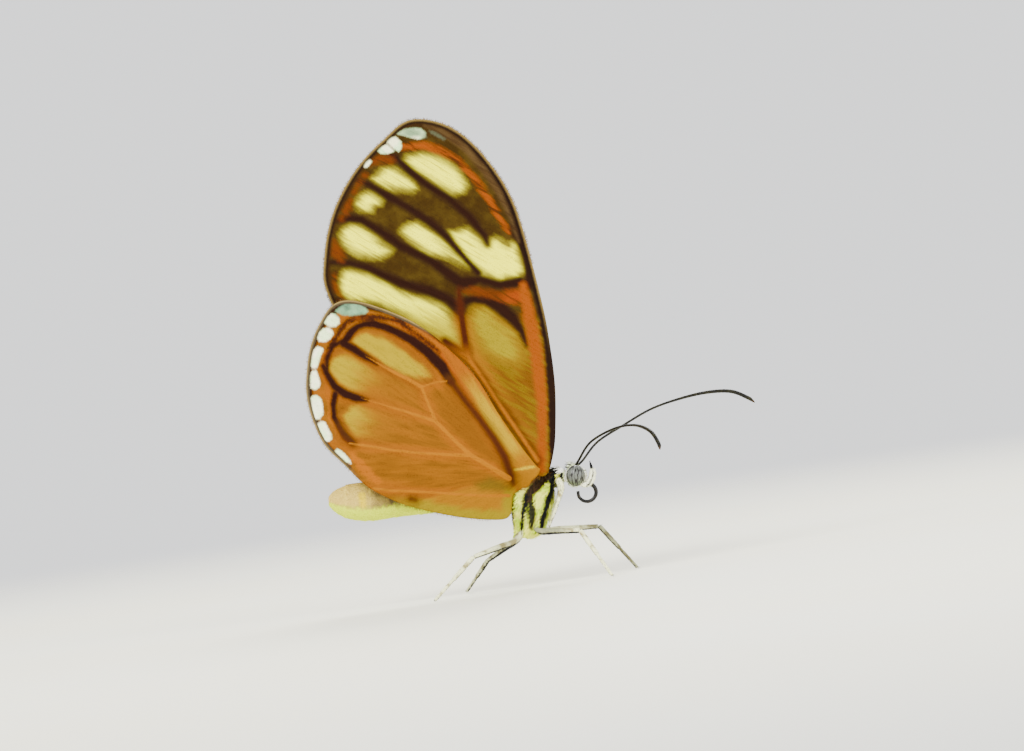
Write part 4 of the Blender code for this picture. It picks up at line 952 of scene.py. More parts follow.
HINDWING_PATTERN = {
    "windows": [        # the three yellow panes
        [(-15.52, 10.4), (-15.2, 10.88), (-14.8, 11.28), (-14.24, 11.48), (-13.68, 11.28), (-12.96, 10.96),
         (-12.24, 10.56), (-11.6, 10.08), (-10.96, 9.68), (-10.32, 9.2), (-9.68, 8.64), (-9.2, 8.08),
         (-8.88, 7.68), (-9.04, 7.36), (-9.68, 7.2), (-10.4, 7.36), (-11.2, 7.68), (-12, 8.08),
         (-12.8, 8.48), (-13.36, 8.96), (-14, 9.36), (-14.64, 9.76)],
        [(-17.52, 8.4), (-17.28, 8.88), (-16.88, 9.28), (-16.4, 9.6), (-15.92, 9.6), (-15.36, 9.36),
         (-14.72, 8.96), (-14, 8.56), (-13.2, 8.08), (-12, 7.5), (-10.9, 6.9), (-10.2, 6.4), (-10.1, 5.9),
         (-10.7, 5.5), (-12.2, 5.75), (-13.2, 6.05), (-14.16, 6.16), (-15.44, 6.32), (-16, 6.56),
         (-16.56, 6.96), (-16.96, 7.52)],
        [(-16.32, 4.72), (-16, 5.12), (-15.44, 5.4), (-14.8, 5.44), (-14, 5.2), (-12.6, 4.8), (-11.2, 4.4),
         (-10.2, 3.9), (-10, 3.3), (-10.6, 2.7), (-12, 2.4), (-14.32, 2.56), (-15.12, 2.72), (-15.6, 3.2),
         (-15.92, 3.76)]],
    "disc": [           # the cell, a deeper orange
        [(-9.5, 6.4), (-8.7, 6.8), (-7.8, 6.8), (-6.9, 5.8), (-5.9, 4.4), (-4.7, 2.8), (-3.7, 1.2),
         (-3.1, -0.1), (-4.3, 0.7), (-5.9, 1.8), (-7.9, 3.7), (-8.9, 5)]],
    "olive": [          # olive shade at the root
        [(-5.6, -0.85), (-4.4, -0.35), (-3.3, -0.7), (-2.75, -1.1), (-2.8, -1.45), (-3.8, -1.5),
         (-5.2, -1.4)]],
    "spots": [          # chalk spots in the margin
        [(-16.72, 12.88), (-16.4, 13.2), (-15.92, 13.44), (-15.36, 13.44), (-14.8, 13.4), (-14.32, 13.12),
         (-14.08, 12.88), (-14.32, 12.64), (-14.96, 12.52), (-15.6, 12.48), (-16.16, 12.52)],
        [(-17.6, 11.92), (-17.36, 12.32), (-17.04, 12.64), (-16.72, 12.64), (-16.4, 12.32), (-16.4, 11.92),
         (-16.64, 11.64), (-17.12, 11.6)],
        [(-18.12, 10.72), (-18, 11.12), (-17.68, 11.44), (-17.28, 11.52), (-16.96, 11.28), (-16.88, 11.04),
         (-17.12, 10.64), (-17.52, 10.4), (-18, 10.44)],
        [(-18.64, 8.56), (-18.56, 9.2), (-18.4, 9.76), (-18.16, 10.04), (-17.76, 9.92), (-17.68, 9.76),
         (-17.92, 9.2), (-18.08, 8.64), (-18.24, 8.28), (-18.56, 8.32)],
        [(-18.68, 6.96), (-18.68, 7.6), (-18.56, 8.08), (-18.24, 8.12), (-18.08, 7.68), (-17.92, 7.12),
         (-18, 6.8), (-18.32, 6.56), (-18.64, 6.72)],
        [(-18.64, 5.92), (-18.48, 6.12), (-18.16, 6.12), (-17.84, 5.84), (-17.72, 5.28), (-17.68, 4.64),
         (-18, 4.24), (-18.32, 4.24), (-18.52, 4.96)],
        [(-18.12, 3.84), (-17.84, 4.08), (-17.52, 4), (-17.28, 3.52), (-17.04, 3.04), (-16.96, 2.72),
         (-17.2, 2.48), (-17.6, 2.56), (-18, 3.28)],
        [(-16.72, 1.68), (-16.56, 1.88), (-16.32, 1.8), (-15.92, 1.44), (-15.52, 0.96), (-15.44, 0.68),
         (-15.84, 0.84), (-16.32, 1.28)]],
    "vein_bands": [     # dark bands round the panes
        [(-16, 10.4, 0.34), (-15.44, 11.2, 0.32), (-14.96, 11.6, 0.28), (-14.4, 11.8, 0.28),
         (-13.6, 11.84, 0.32), (-12.8, 11.6, 0.32), (-12, 11.28, 0.36), (-10.64, 10.56, 0.4),
         (-9.36, 9.6, 0.44), (-8.24, 8.48, 0.44), (-7.52, 7.28, 0.36)],
        [(-16.1, 10.3, 0.34), (-15.2, 9.8, 0.34), (-14.32, 9.2, 0.28), (-13.36, 8.64, 0.16)],
        [(-17.68, 8.48, 0.2), (-17.2, 7.52, 0.28), (-16.72, 6.8, 0.32), (-15.92, 6.24, 0.36),
         (-14.96, 5.92, 0.32), (-14.16, 5.76, 0.16)],
        [(-16.72, 6.24, 0.28), (-16.88, 5.36, 0.28), (-16.8, 4.4, 0.24), (-16.32, 3.44, 0.24),
         (-15.76, 2.8, 0.24), (-15.12, 2.32, 0.12)],
        [(-17.36, 8, 0.16), (-17.36, 9.12, 0.2), (-16.88, 10.08, 0.2), (-16, 10.56, 0.24)]],
    "wine_line": [      # dark line before the cell
        [(-7.52, 7.28, 0.2), (-6.4, 5.76, 0.2), (-5.2, 4.24, 0.2), (-4.08, 2.72, 0.24), (-3.2, 1.2, 0.28),
         (-2.7, -0.3, 0.26), (-2.55, -0.9, 0.1)],
        [(-16.4, 3.6, 0.08), (-16, 2.72, 0.12), (-15.36, 2.24, 0.12)],
        [(-10.7, -2.1, 0.08), (-10.3, -2.2, 0.06)]],
    "border": [         # dark margin
        [(-6, 8.8, 0.08), (-7.76, 10.08, 0.16), (-9.36, 11.36, 0.24), (-10.96, 12.32, 0.36),
         (-12.56, 12.96, 0.36), (-14.16, 13.28, 0.32), (-15.6, 13.44, 0.28), (-16.56, 13.2, 0.36),
         (-17.44, 12.32, 0.36), (-18.08, 11.44, 0.36), (-18.56, 10.16, 0.36), (-18.84, 8.96, 0.32),
         (-18.88, 7.52, 0.32), (-18.8, 6.08, 0.32), (-18.56, 4.72, 0.32), (-18.08, 3.36, 0.32),
         (-17.36, 2, 0.28), (-16.4, 0.96, 0.24), (-15.6, 0.4, 0.16)]],
    "band_amber": [     # amber inside the margin
        [(-8.4, 9.6, 0.12), (-10, 10.88, 0.24), (-11.6, 12, 0.28), (-12.8, 12.32, 0.28), (-14, 12.4, 0.28),
         (-15.12, 12.24, 0.28), (-15.84, 11.92, 0.28), (-16.32, 11.28, 0.28), (-16.8, 10.48, 0.28),
         (-17.28, 9.6, 0.28), (-17.6, 8.72, 0.24), (-17.6, 7.68, 0.28), (-17.28, 6.72, 0.32),
         (-17.04, 5.76, 0.32), (-17.04, 4.8, 0.32), (-16.8, 3.84, 0.28), (-16.32, 2.88, 0.28),
         (-15.6, 2, 0.28), (-15.12, 1.12, 0.36), (-14.32, 0.16, 0.44), (-13.36, -0.64, 0.32)]],
    "veins_lit": [      # lit veins
        [(-9.84, 6.8, 0.12), (-9.2, 7.04, 0.12), (-8.64, 7.2, 0.12), (-7.84, 7.28, 0.12)],
        [(-9.84, 6.8, 0.16), (-9.68, 6.4, 0.16), (-9.36, 5.6, 0.16), (-8.72, 4.08, 0.2),
         (-8.16, 3.52, 0.2), (-6.96, 2.32, 0.2), (-6, 1.44, 0.24), (-4.4, 0.48, 0.24),
         (-2.88, -0.48, 0.28)],
        [(-14.32, 9.28, 0.08), (-12.4, 8.16, 0.16), (-10.8, 7.36, 0.2), (-9.84, 6.8, 0.2)],
        [(-14.64, 5.92, 0.08), (-12.8, 5.36, 0.12), (-11.2, 4.88, 0.16), (-8.72, 4.08, 0.2)],
        [(-15.6, 2.32, 0.12), (-14.4, 2.16, 0.16), (-12, 1.76, 0.16), (-9.6, 1.52, 0.16),
         (-6.16, 1.36, 0.2)],
        [(-2.88, -1.84, 0.2), (-5.2, -1.84, 0.16), (-7.6, -1.68, 0.16), (-10, -1.52, 0.16),
         (-12, -1.44, 0.16), (-13.68, -1.28, 0.16)]],
    "root_line": [      # pale line at the root
        [(-2.4, 0.2, 0.07), (-1.6, 0.36, 0.1), (-0.9, 0.46, 0.07)]],
    "costal_zone": [    # bright band along the front edge
        [(-0.2, 0.6), (-0.6, 1.2), (-1.8, 2.5), (-3.6, 5), (-5.4, 7.9), (-7.6, 10.2), (-10, 11.8),
         (-12, 12.7), (-12.4, 12), (-10, 10.6), (-8.4, 9.4), (-7.4, 7.8), (-6.2, 5.8), (-4.6, 3.2),
         (-3.1, 1), (-2.6, -0.8), (-2.2, -1.6), (-1.2, -1.4), (-0.2, -0.4)]]}


def hindwing_colours(f):
    """Orange ground, yellow panes, lit veins, dark bands and the dotted dark margin."""
    streak = streaks_of(f, 2.2, 0.3) - 0.5
    ragged = (f.noise(7.0, 2.0) - 0.5) * 0.2 + streak * 0.4
    fine = (f.noise(8.0, 2.0) - 0.5) * 0.1
    away = f.field("along")
    turned = f.field("across")
    f.colour = f.blend(paint(0.195, 0.065, 0.0006), paint(0.139, 0.049, 0.0006), f.ramp(streak, -0.16, 0.2))
    f.wash(paint(0.141, 0.047, 0.0006), f.ramp(f.field("disc") + streak, 0.1, -0.5)
           * f.ramp(away, 11.0, 6.0, 0.35, 1.0))
    f.wash(paint(0.221, 0.063, 0.0006), f.ramp(f.field("vein") + streak * 0.8, 0.8, 0.1) * 0.8)
    f.wash(paint(0.231, 0.093, 0.0006), f.ramp(turned + streak, -1.7, -2.2) * 0.8)
    f.wash(paint(0.198, 0.144, 0.0006), f.ramp(f.field("rim") + streak * 0.9, 1.1, 0.45)
           * f.ramp(turned, -1.2, -2.4) * 0.9)
    f.mark(paint(0.072, 0.051, 0.0036), "olive", 0.4, ragged, 0.7)
    zone = f.field("costal_zone")
    costal = f.blend(paint(0.23, 0.062, 0.0006), paint(0.269, 0.112, 0.0006),
                     f.ramp(away + streak * 3.0, 10.5, 5.0))
    costal = f.blend(costal, paint(0.32, 0.194, 0.0006),
                     f.ramp(zone + streak, -0.3, -0.7) * f.ramp(away, 10.0, 6.0))
    costal = f.blend(paint(0.207, 0.042, 0.0006), costal, f.ramp(zone, 0.0, -0.45))
    f.wash(costal, f.ramp(zone + ragged, 0.15, -0.15))
    f.wash(paint(0.241, 0.095, 0.0006), f.ramp(away, 2.6, 1.2))
    f.mark(paint(0.647, 0.494, 0.0006), "root_line", 0.12, ragged, 0.6)
    reach = away + streak * 2.5 + f.ramp(turned, 4.6, 5.2, 0.0, 4.6) + f.ramp(turned, 3.4, 3.0, 0.0, 1.2)
    f.mark(paint(0.086, 0.024, 0.0006), "windows", 0.4, ragged - 0.25, f.ramp(reach, 13.0, 16.5) * 0.6)
    pane = f.blend(paint(0.223, 0.083, 0.0006), paint(0.281, 0.197, 0.0006),
                   f.ramp(reach, 13.5, 17.0) * f.ramp(f.field("windows") + streak, 0.0, -0.5))
    f.mark(pane, "windows", 0.36, ragged + 0.06, f.ramp(reach, 11.5, 16.2))
    amber = f.blend(paint(0.1, 0.022, 0.0007), paint(0.27, 0.076, 0.0006), f.ramp(turned, 4.6, 2.2))
    cloud = f.noise(1.1, 3.0) + (turned - 4.6) * 0.08
    amber = f.blend(amber, paint(0.033, 0.007, 0.0006), f.ramp(cloud, 0.46, 0.62))
    f.mark(amber, "band_amber", 0.2, ragged * 1.6 + 0.04)
    f.mark(paint(0.014, 0.0022, 0.0006), "vein_bands", 0.2, ragged * 0.5)
    f.mark(paint(0.062, 0.019, 0.0006), "wine_line", 0.45, streak * 0.8 - 0.3, 0.7)
    f.mark(paint(0.041, 0.0077, 0.0006), "wine_line", 0.26, fine)
    f.mark(paint(0.018, 0.0055, 0.0006), "border", 0.16, ragged * 0.5)
    f.mark(paint(0.267, 0.091, 0.0006), "veins_lit", 0.06, fine + 0.06)
    chalk = f.blend(paint(0.755, 0.93, 0.489), paint(0.93, 0.93, 0.612), f.ramp(f.noise(1.1), 0.4, 0.55))
    grey = f.blend(paint(0.063, 0.124, 0.077), paint(0.173, 0.319, 0.173), f.ramp(f.noise(1.2), 0.3, 0.7))
    f.mark(f.blend(chalk, grey, f.ramp(turned, 5.36, 5.5)), "spots", 0.12, fine * 1.6)
    hem = f.blend(paint(0.056, 0.04, 0.02), paint(0.225, 0.154, 0.049), f.ramp(f.field("rim"), 0.16, 0.04))
    f.mark(hem, "rim", 0.05, fine - 0.26, f.ramp(away, 13.0, 15.5))
    return dusted(f)


hind_finish = Finish("hindwing scales", Roughness=0.6, Specular_IOR_Level=0.05)
hind_finish.feed("Base Color", hindwing_colours(hind_finish))
scaled_relief(hind_finish)


def fanned(x, z):
    """How far from the hindwing's root a point lies, and how far round it, up being more."""
    return np.hypot(x + 1.2, z), 8.0 * np.arctan2(z, -x - 1.2)


for word, side in (("right", -1), ("left", 1)):
    wing_piece, line, outward = sheet(
        "hindwing_sheet_" + word, HINDWING_OUTLINE, HINDWING_VEINS, HINDWING_PATTERN,
        HINDWING_PLANE, side, fanned, hind_finish)
    hairs = fringe("hindwing_fringe_" + word, line, outward, HINDWING_PLANE, side,
                   lambda x, z: x < -4.4 and (z < 9.0 or x < -14.0), 21 + side)
    for piece in (wing_piece, hairs):
        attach(piece, "root")
    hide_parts("hindwing_" + word)


# Eyes: big smooth domes of horn with fine facets, grey with upright dark streaks;
# seated in the head's sides.
EYE_CENTRE = (2.44, 0.56, -0.28)
EYE_RADII = (0.76, 0.72, 0.86)
eye_finish = Finish("eye horn", Roughness=0.3, Specular_IOR_Level=0.3)
streaks = eye_finish.node("ShaderNodeTexNoise", {}, {
    "Vector": eye_finish.node("ShaderNodeCombineXYZ", {}, {
        0: eye_finish.field("across") * 4.2, 1: eye_finish.field("up") * 1.5}),
    "Scale": 1.0, "Detail": 2.0})
eye_finish.colour = eye_finish.blend(paint(0.104, 0.111, 0.096), paint(0.066, 0.091, 0.037),
                                     eye_finish.ramp(eye_finish.field("up"), -0.2, -0.9))
eye_finish.wash(paint(0.0064, 0.0047, 0.0039), eye_finish.ramp(streaks, 0.47, 0.58))
eye_finish.wash(paint(0.443, 0.459, 0.316), eye_finish.ramp(streaks, 0.34, 0.24))
eye_finish.feed("Base Color", eye_finish.colour)
facets = eye_finish.node("ShaderNodeTexVoronoi", {}, {
    "Vector": eye_finish.place(), "Scale": 17.0, "Randomness": 0.15})
eye_finish.relief(facets, 0.000008, 0.6)
for word, side in (("right", -1), ("left", 1)):
    x, y, z = EYE_CENTRE
    mesh = ball_mesh((x, side * y, z), EYE_RADII, 72, 48)
    place = points_of(mesh)
    store(mesh, "across", np.arctan2(side * (place[:, 1] - side * y), place[:, 0] - x))
    store(mesh, "up", (place[:, 2] - z) / EYE_RADII[2])
    piece = dressed("eye_dome_" + word, mesh, eye_finish)
    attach(piece, "root")
    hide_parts("eye_" + word)


# Palps: two upturned three-jointed feelers before the face, white scaled, lined with black,
# grown from the face under the eyes.
palp_finish = Finish("palp scales", Roughness=0.6, Specular_IOR_Level=0.15)
black_end = palp_finish.field("run") + (palp_finish.noise(6.0) - 0.5) * 0.1
palp_finish.colour = palp_finish.blend(paint(0.93, 0.93, 0.669), COAL,
                                       palp_finish.ramp(black_end, 0.74, 0.8))
palp_finish.mark(COAL, "stripe", 0.05, (palp_finish.noise(7.0) - 0.5) * 0.1)
palp_finish.feed("Base Color", palp_finish.colour)
palp_finish.relief(palp_finish.noise(12.0, 2.0), 0.00002)


def nearest_on(line, mesh):
    """For each point of a mesh the number of the nearest place on a line."""
    return np.array([np.argmin(np.sum((line - p) ** 2, axis=1)) for p in points_of(mesh)])


def run_along(mesh, stations):
    """How far along its stations, 0 to 1, each point of a limb lies, and its middle there."""
    line = np.array([s[:3] for s in through(stations, 0.1)])
    length = np.concatenate([[0], np.cumsum(np.linalg.norm(np.diff(line, axis=0), axis=1))])
    nearest = nearest_on(line, mesh)
    return length[nearest] / length[-1], line[nearest]


def wrap_uv(mesh):
    """The side view of a small piece laid in one square; its coat takes its patches there."""
    place = points_of(mesh)
    low, high = place.min(axis=0), place.max(axis=0)
    spot = (place[corners_of(mesh)] - low) / np.maximum(high - low, 1e-6)
    lay_uv(mesh, 0.02 + 0.95 * spot[:, 0], 0.02 + 0.95 * spot[:, 2])


for word, side in (("right", -1), ("left", 1)):
    path = [(2.75, side * 0.5, -0.88, 0.15), (3.1, side * 0.7, -1.0, 0.19),
            (3.42, side * 0.78, -0.95, 0.22), (3.68, side * 0.74, -0.6, 0.24),
            (3.78, side * 0.62, -0.25, 0.24), (3.79, side * 0.48, 0.05, 0.2),
            (3.72, side * 0.45, 0.35, 0.12), (3.64, side * 0.44, 0.62, 0.075),
            (3.58, side * 0.43, 0.9, 0.02)]
    mesh = limb_mesh(path, 20, 0.06)
    run, middle = run_along(mesh, path)
    place = points_of(mesh)
    outer_face = place[:, 1] * side > middle[:, 1] * side
    store(mesh, "run", run)
    store(mesh, "stripe", np.abs(place[:, 0] - middle[:, 0] - 0.03) - 0.05
          + np.where(outer_face, 0.0, 0.5))
    store(mesh, "shag", np.where(place[:, 2] > 0.2, 0.25, 0.5))
    wrap_uv(mesh)
    piece = dressed("palp_" + word + "_limb", mesh, palp_finish)
    hairs = coat("palp_scales_" + word, piece, palp_finish, Density=1.2e8, Length=0.00036,
                 Width=0.4, Rise=0.2, Lie=(0.5, 0.0, 0.9), Seed=31)
    for part in (piece, hairs):
        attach(part, "root")
    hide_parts("palp_" + word)


# Tongue: a flat coil of black ringed horn under the face, one tube bent round on itself;
# held in its root at the mouth.
COIL_CENTRE = (3.36, -1.62)
COIL_RADIUS = 0.73
coil = [(2.6, 0, -0.5, 0.15), (3.0, 0, -0.88, 0.15)]
for k in range(9):
    turn = math.radians(100 - 36 * k)
    coil.append((COIL_CENTRE[0] + COIL_RADIUS * math.cos(turn), 0,
                 COIL_CENTRE[1] + COIL_RADIUS * math.sin(turn), 0.175 - 0.006 * k))
rings = [(x, y, z, radius * (1.0 + 0.05 * math.cos(k * math.pi)))
         for k, (x, y, z, radius) in enumerate(through(coil, 0.035))]
horn_finish = Finish("dark horn", Roughness=0.35, Specular_IOR_Level=0.25)
horn_finish.feed("Base Color", horn_finish.blend(
    paint(0.001, 0.0006, 0.0006), paint(0.018, 0.01, 0.0028),
    horn_finish.ramp(horn_finish.noise(4.0), 0.5, 0.72)))
horn_finish.relief(horn_finish.noise(14.0), 0.00001)
tongue = dressed("coiled_tongue", limb_mesh(rings, 16, rough=False), horn_finish)
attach(tongue, "root")
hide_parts("proboscis")


# Feelers: long thin rods of jointed horn with a slender club, each one tube through its
# stations in space; sprung from the crown between the eyes.
JOINT_LENGTH = 0.3
ROD_RADIUS = 0.096
CLUB_SWELL = 0.054          # how much thicker the club is
ROOT_LENGTH = 0.35          # the thick part by the crown
ROOT_RADIUS = 0.19
ROOT_TAPER = 0.6 / 2.2      # what its radius loses with each millimetre
FEELERS = {
    "right": [(2.3, -0.25, 0.3), (2.66, -0.55, 0.9), (3.62, -1.9, 2.42), (5.4, -4.3, 3.5),
              (6.96, -7.2, 3.82), (8.12, -9.9, 3.4), (8.72, -11.2, 2.52), (8.85, -11.8, 2.0)],
    "left": [(2.34, 0.25, 0.3), (3.0, 0.5, 0.9), (4.22, 1.0, 2.4), (6.32, 1.8, 3.74),
             (8.5, 2.6, 5.0), (10.7, 3.3, 5.8), (13.0, 3.9, 6.35), (15.0, 4.3, 6.45),
             (16.4, 4.5, 5.95), (17.0, 4.6, 5.55)]}
feeler_finish = Finish("feeler horn", Roughness=0.45, Specular_IOR_Level=0.15)
feeler_finish.colour = feeler_finish.blend(paint(0.0024, 0.0021, 0.0006), paint(0.0094, 0.0084, 0.0006),
                                           feeler_finish.ramp(feeler_finish.noise(2.4), 0.4, 0.7))
feeler_finish.mark(paint(0.435, 0.386, 0.189), "joint", 0.03, share=0.1)
feeler_finish.wash(paint(0.043, 0.019, 0.0052), feeler_finish.ramp(feeler_finish.field("run"), 0.98, 0.995))
feeler_finish.feed("Base Color", feeler_finish.colour)
feeler_finish.relief(feeler_finish.noise(12.0), 0.00001)
for word, stations in FEELERS.items():
    line = through(stations, 0.05)
    total = sum(math.dist(a, b) for a, b in zip(line, line[1:]))
    gone, path, joints = 0.0, [], []
    for k, point in enumerate(line):
        gone += math.dist(point, line[k - 1]) if k else 0.0
        share = gone / total
        club = max(0.0, min(1.0, (share - 0.5) / 0.4))
        tip = max(0.12, min(1.0, (1.0 - share) / 0.03))
        width = (ROD_RADIUS + CLUB_SWELL * club * club * (3 - 2 * club)) * tip ** 0.5
        if gone < ROOT_LENGTH:
            width = max(width, ROOT_RADIUS - ROOT_TAPER * gone)
        step = (gone / JOINT_LENGTH) % 1.0
        path.append((*point, width * (0.97 + 0.06 * abs(math.sin(math.pi * step)) ** 0.5)))
        joints.append(min(step, 1.0 - step) * JOINT_LENGTH)
    mesh = limb_mesh(path, 12, rough=False)
    store(mesh, "run", run_along(mesh, stations)[0])
    store(mesh, "joint", np.array(joints)[nearest_on(np.array(line), mesh)])
    piece = dressed("feeler_" + word, mesh, feeler_finish)
    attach(piece, "root")
    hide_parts("antenna_" + word)


# Legs: thigh, shin and five toe joints with two claws, horn under white and dark scales;
# these four grow from the breast and stand on the floor.
SHIN_END = 0.52             # share of the way from knee to sole
TOE_SHARES = (0.0, 0.4, 0.6, 0.76, 0.88, 1.0)   # the toe joints' ends, as shares of the foot
SOLE_HEIGHT = 0.14          # the middle of the last toe joint above the floor
LEGS = {                    # hip, the thigh's bend and the knee, the foot's place on the floor
    "midleg_right": ((-0.9, -0.6, -4.2), [(-0.3, -1.1, -4.7), (2.8, -2.7, -4.6)], (4.08, -4.2)),
    "midleg_left": ((-0.9, 0.6, -4.2), [(-0.3, 1.1, -4.7), (4.4, 2.4, -4.4)], (6.3, 4.2)),
    "hindleg_right": ((-1.8, -0.5, -4.6), [(-2.4, -1.0, -5.5), (-5.7, -2.6, -6.7)], (-10.1, -3.4)),
    "hindleg_left": ((-1.8, 0.5, -4.6), [(-2.3, 1.1, -5.5), (-4.6, 3.1, -7.2)], (-7.6, 5.0))}
TONES = {                   # how dark the thigh and the shin are
    "midleg_right": (1.0, 0.1), "midleg_left": (0.3, 1.0),
    "hindleg_right": (0.55, 0.15), "hindleg_left": (0.9, 0.6)}
leg_finish = Finish("leg scales", Roughness=0.55, Specular_IOR_Level=0.15)
leg_finish.colour = leg_finish.blend(paint(0.93, 0.93, 0.551), paint(0.332, 0.276, 0.106),
                                     leg_finish.ramp(leg_finish.noise(1.4), 0.48, 0.7))
leg_finish.wash(paint(0.052, 0.056, 0.026), leg_finish.field("tone") * 0.8)
# Dark line along each limb's underside: the legs' black scales, plus painted shade where the limb faces
# down; spurs and claws are black all over.
leg_finish.mark(COAL, "under", 0.03, (leg_finish.noise(5.0, 2.0) - 0.5) * 0.1)
leg_finish.feed("Base Color", leg_finish.colour)
leg_finish.relief(leg_finish.noise(13.0, 2.0), 0.00002)


def floor_point(x, y, z):
    """A place over the floor, told from the hinge's foot, in the insect's own axes."""
    return STAND.inverted() @ Vector(((x + 0.15) * 0.001, (y + 3.35) * 0.001, z * 0.001))


def leg_part(stations, line_from):
    """A limb with its run and its gap to the dark line along its underside, partly black scales and partly
    painted shade.
    """
    mesh = limb_mesh(stations, 14, 0.06)
    run, middle = run_along(mesh, stations)
    place = points_of(mesh)
    radius = np.linalg.norm(place - middle, axis=1)
    lean = (Vector(stations[-1][:3]) - Vector(stations[0][:3])).normalized()
    below = (middle[:, 2] - place[:, 2]) / np.maximum(radius, 1e-6)
    below /= max(0.45, math.sqrt(1.0 - lean.z * lean.z))
    return mesh, run, np.where(below > line_from, -0.1, 0.2 - (below + 0.45 - line_from) * 0.3)


def thorn(stations, step):
    """A spur or a claw, dark all over."""
    mesh = limb_mesh(stations, 8, step)
    count = len(mesh.vertices)
    return mesh, np.ones(count), np.full(count, -0.1)


def claws(path):
    """Two small hooks that spread at the end of a toe."""
    end, before = Vector(path[-1][:3]), Vector(path[-3][:3])
    ahead = (end - before).normalized()
    ahead.z = 0.0
    across = Vector((-ahead.y, ahead.x, 0.0)).normalized()
    hooks = []
    for turn in (-1, 1):
        out = ahead * 0.5 + across * turn
        bend = end + out * 0.1 + Vector((0, 0, 0.02))
        tip = end + out * 0.16 + Vector((0, 0, -0.03))
        hooks.append(thorn([(*end, 0.035), (*bend, 0.028), (*tip, 0.006)], 0.05))
    return hooks


for name, (hip, joints, foot) in LEGS.items():
    sole = floor_point(*foot, SOLE_HEIGHT)
    bend, knee = Vector(joints[0]), Vector(joints[-1])
    thigh_run = [(*hip, 0.34), (*bend, 0.27)]
    for share, width in ((0.35, 0.25), (0.75, 0.21), (0.97, 0.18)):
        thigh_run.append((*bend.lerp(knee, share), width))
    shin = [(*knee.lerp(sole, share), width) for share, width in (
        (0.0, 0.17), (0.06, 0.19), (0.3, 0.185), (SHIN_END, 0.165))]
    toes = []
    for k in range(5):
        start, end = (SHIN_END + (1.0 - SHIN_END) * share for share in TOE_SHARES[k:k + 2])
        toes.append((*knee.lerp(sole, start + 0.01), 0.12))
        toes.append((*knee.lerp(sole, end - 0.012), 0.14 - 0.005 * k))
    toes.append((*sole, 0.08))
    parts = [leg_part(thigh_run, 0.45), leg_part(shin + toes, 0.7)]
    for turn in (-1, 1):
        spur_tip = knee.lerp(sole, SHIN_END + 0.06) + Vector((0, turn * 0.1, 0))
        parts.append(thorn([(*knee.lerp(sole, SHIN_END - 0.01), 0.04), (*spur_tip, 0.008)], 0.1))
    meshes, runs, unders = zip(*parts, *claws(toes))
    mesh = joined(meshes)
    toward_knee = np.ones(len(mesh.vertices))
    toward_knee[:len(runs[0])] = np.clip((runs[0] - 0.6) / 0.35, 0, 1)
    near_hip, past_knee = TONES[name]
    store(mesh, "run", np.concatenate(runs))
    store(mesh, "under", np.concatenate(unders))
    store(mesh, "tone", near_hip + (past_knee - near_hip) * toward_knee)
    store(mesh, "shag", np.full(len(mesh.vertices), 0.5))
    wrap_uv(mesh)
    piece = dressed(name + "_limb", mesh, leg_finish)
    hairs = coat(name + "_scales", piece, leg_finish, Density=6.0e7, Length=0.00026, Width=0.36,
                 Rise=0.16, Lie=tuple(STAND.to_3x3().normalized() @ (sole - knee)), Seed=41)
    for part in (piece, hairs):
        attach(part, "root")
    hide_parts(name)


# Forelegs: much smaller, horn under the same scales as the other legs; folded down the
# breast, with their hips under the collar.
for word, side in (("right", -1), ("left", 1)):
    path = [(1.0, side * 0.5, -0.55, 0.28), (1.26, side * 0.66, -1.1, 0.27),
            (1.2, side * 0.72, -1.7, 0.21), (1.0, side * 0.84, -2.4, 0.15),
            (0.7, side * 0.95, -3.3, 0.12), (0.47, side * 0.97, -3.9, 0.09),
            (0.32, side * 0.98, -4.35, 0.04)]
    mesh, run, under = leg_part(path, 0.6)
    for measure, values in (("run", run), ("under", under), ("tone", np.zeros(len(run))),
                            ("shag", np.full(len(run), 0.6))):
        store(mesh, measure, values)
    wrap_uv(mesh)
    piece = dressed("foreleg_" + word + "_limb", mesh, leg_finish)
    hairs = coat("foreleg_scales_" + word, piece, leg_finish, Density=9.0e7, Length=0.00026,
                 Width=0.36, Rise=0.2, Lie=(-0.2, 0.0, -1.0), Seed=51)
    for part in (piece, hairs):
        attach(part, "root")
    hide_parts("foreleg_" + word)
bpy.data.objects.remove(BLADE, do_unlink=True)


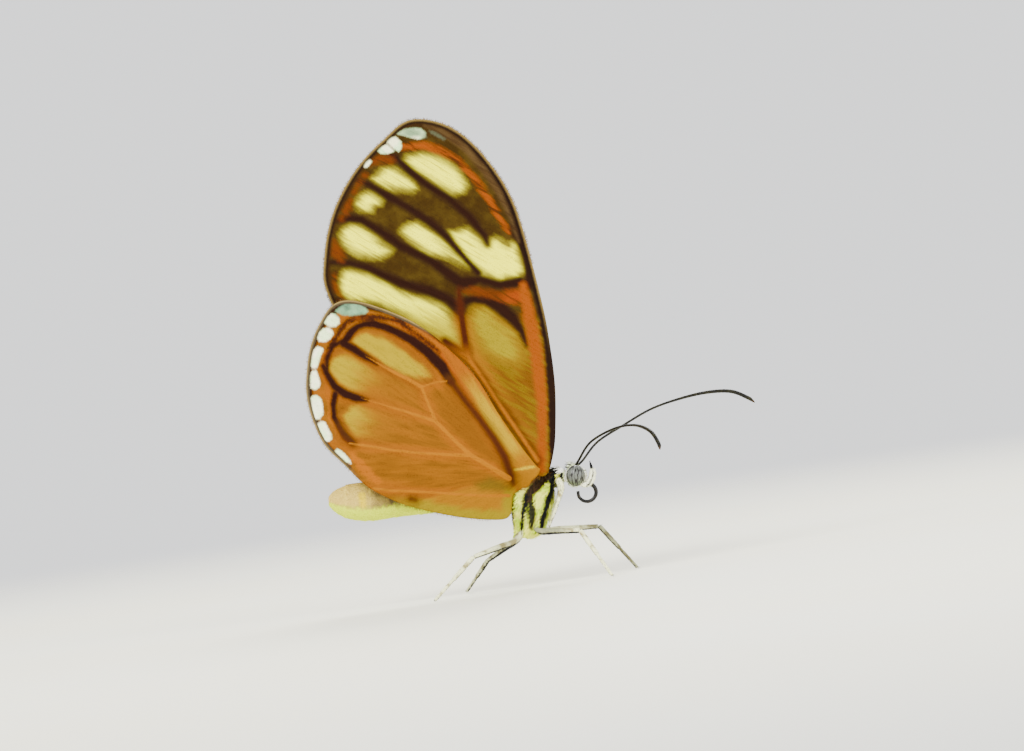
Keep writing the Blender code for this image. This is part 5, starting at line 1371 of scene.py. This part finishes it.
# Stage: a pale round floor that fades out toward its rim, even pale surroundings and three
# soft lamps, as in a small studio.
FLOOR_RADIUS = 0.4
floor_form = bmesh.new()
bmesh.ops.create_circle(floor_form, cap_ends=True, segments=96, radius=FLOOR_RADIUS)
floor = shown("pale_floor", meshed(floor_form, "pale_floor"))
floor_finish = Finish("pale floor", Roughness=0.6)
away = floor_finish.node("ShaderNodeVectorMath", {"operation": "LENGTH"}, {
    0: floor_finish.node("ShaderNodeTexCoord", out="Object")}, out=1)
floor_finish.feed("Alpha", floor_finish.ramp(away, 0.05, 0.3, 1.0, 0.0))
floor_finish.feed("Base Color", floor_finish.blend(
    paint(0.93, 0.877, 0.664), paint(0.93, 0.93, 0.792), floor_finish.noise(0.02)))
floor_finish.relief(floor_finish.noise(1.0), 0.00002)
floor.data.materials.append(floor_finish.material)
world = bpy.data.worlds.new("pale surroundings")
world.use_nodes = True
background = world.node_tree.nodes["Background"]
background.inputs["Color"].default_value = (0.98, 0.99, 1.0, 1.0)
background.inputs["Strength"].default_value = 1.5
bpy.context.scene.world = world
for name, where, size, power in (
        ("key light", (-0.28, -0.42, 0.42), 0.3, 7.0),
        ("fill light", (0.38, -0.34, 0.16), 0.3, 2.4),
        ("back light", (0.1, 0.4, 0.4), 0.25, 2.5)):
    lamp = bpy.data.lights.new(name, "AREA")
    lamp.size = size
    lamp.energy = power
    thing = shown(name, lamp)
    thing.location = where
    aim = Vector((0.0, 0.0, 0.018)) - Vector(where)
    thing.rotation_euler = aim.to_track_quat("-Z", "Y").to_euler()

# Camera: level with the wings' middle, on the insect's right, rolled by the nose-down slope,
# so that the picture shows the insect's own axes level and upright.
lens = bpy.data.cameras.new("camera")
lens.lens = 175.8
lens.sensor_width = 36.0
lens.clip_start = 0.01
camera = shown("camera", lens)
right = (math.cos(NOSE_DOWN), 0.0, -math.sin(NOSE_DOWN))
up = (math.sin(NOSE_DOWN), 0.0, math.cos(NOSE_DOWN))
turn = Matrix((right, up, (0.0, -1.0, 0.0))).transposed().to_4x4()
camera.matrix_world = Matrix.Translation((-0.00136, -0.39665, 0.01692)) @ turn
bpy.context.scene.camera = camera
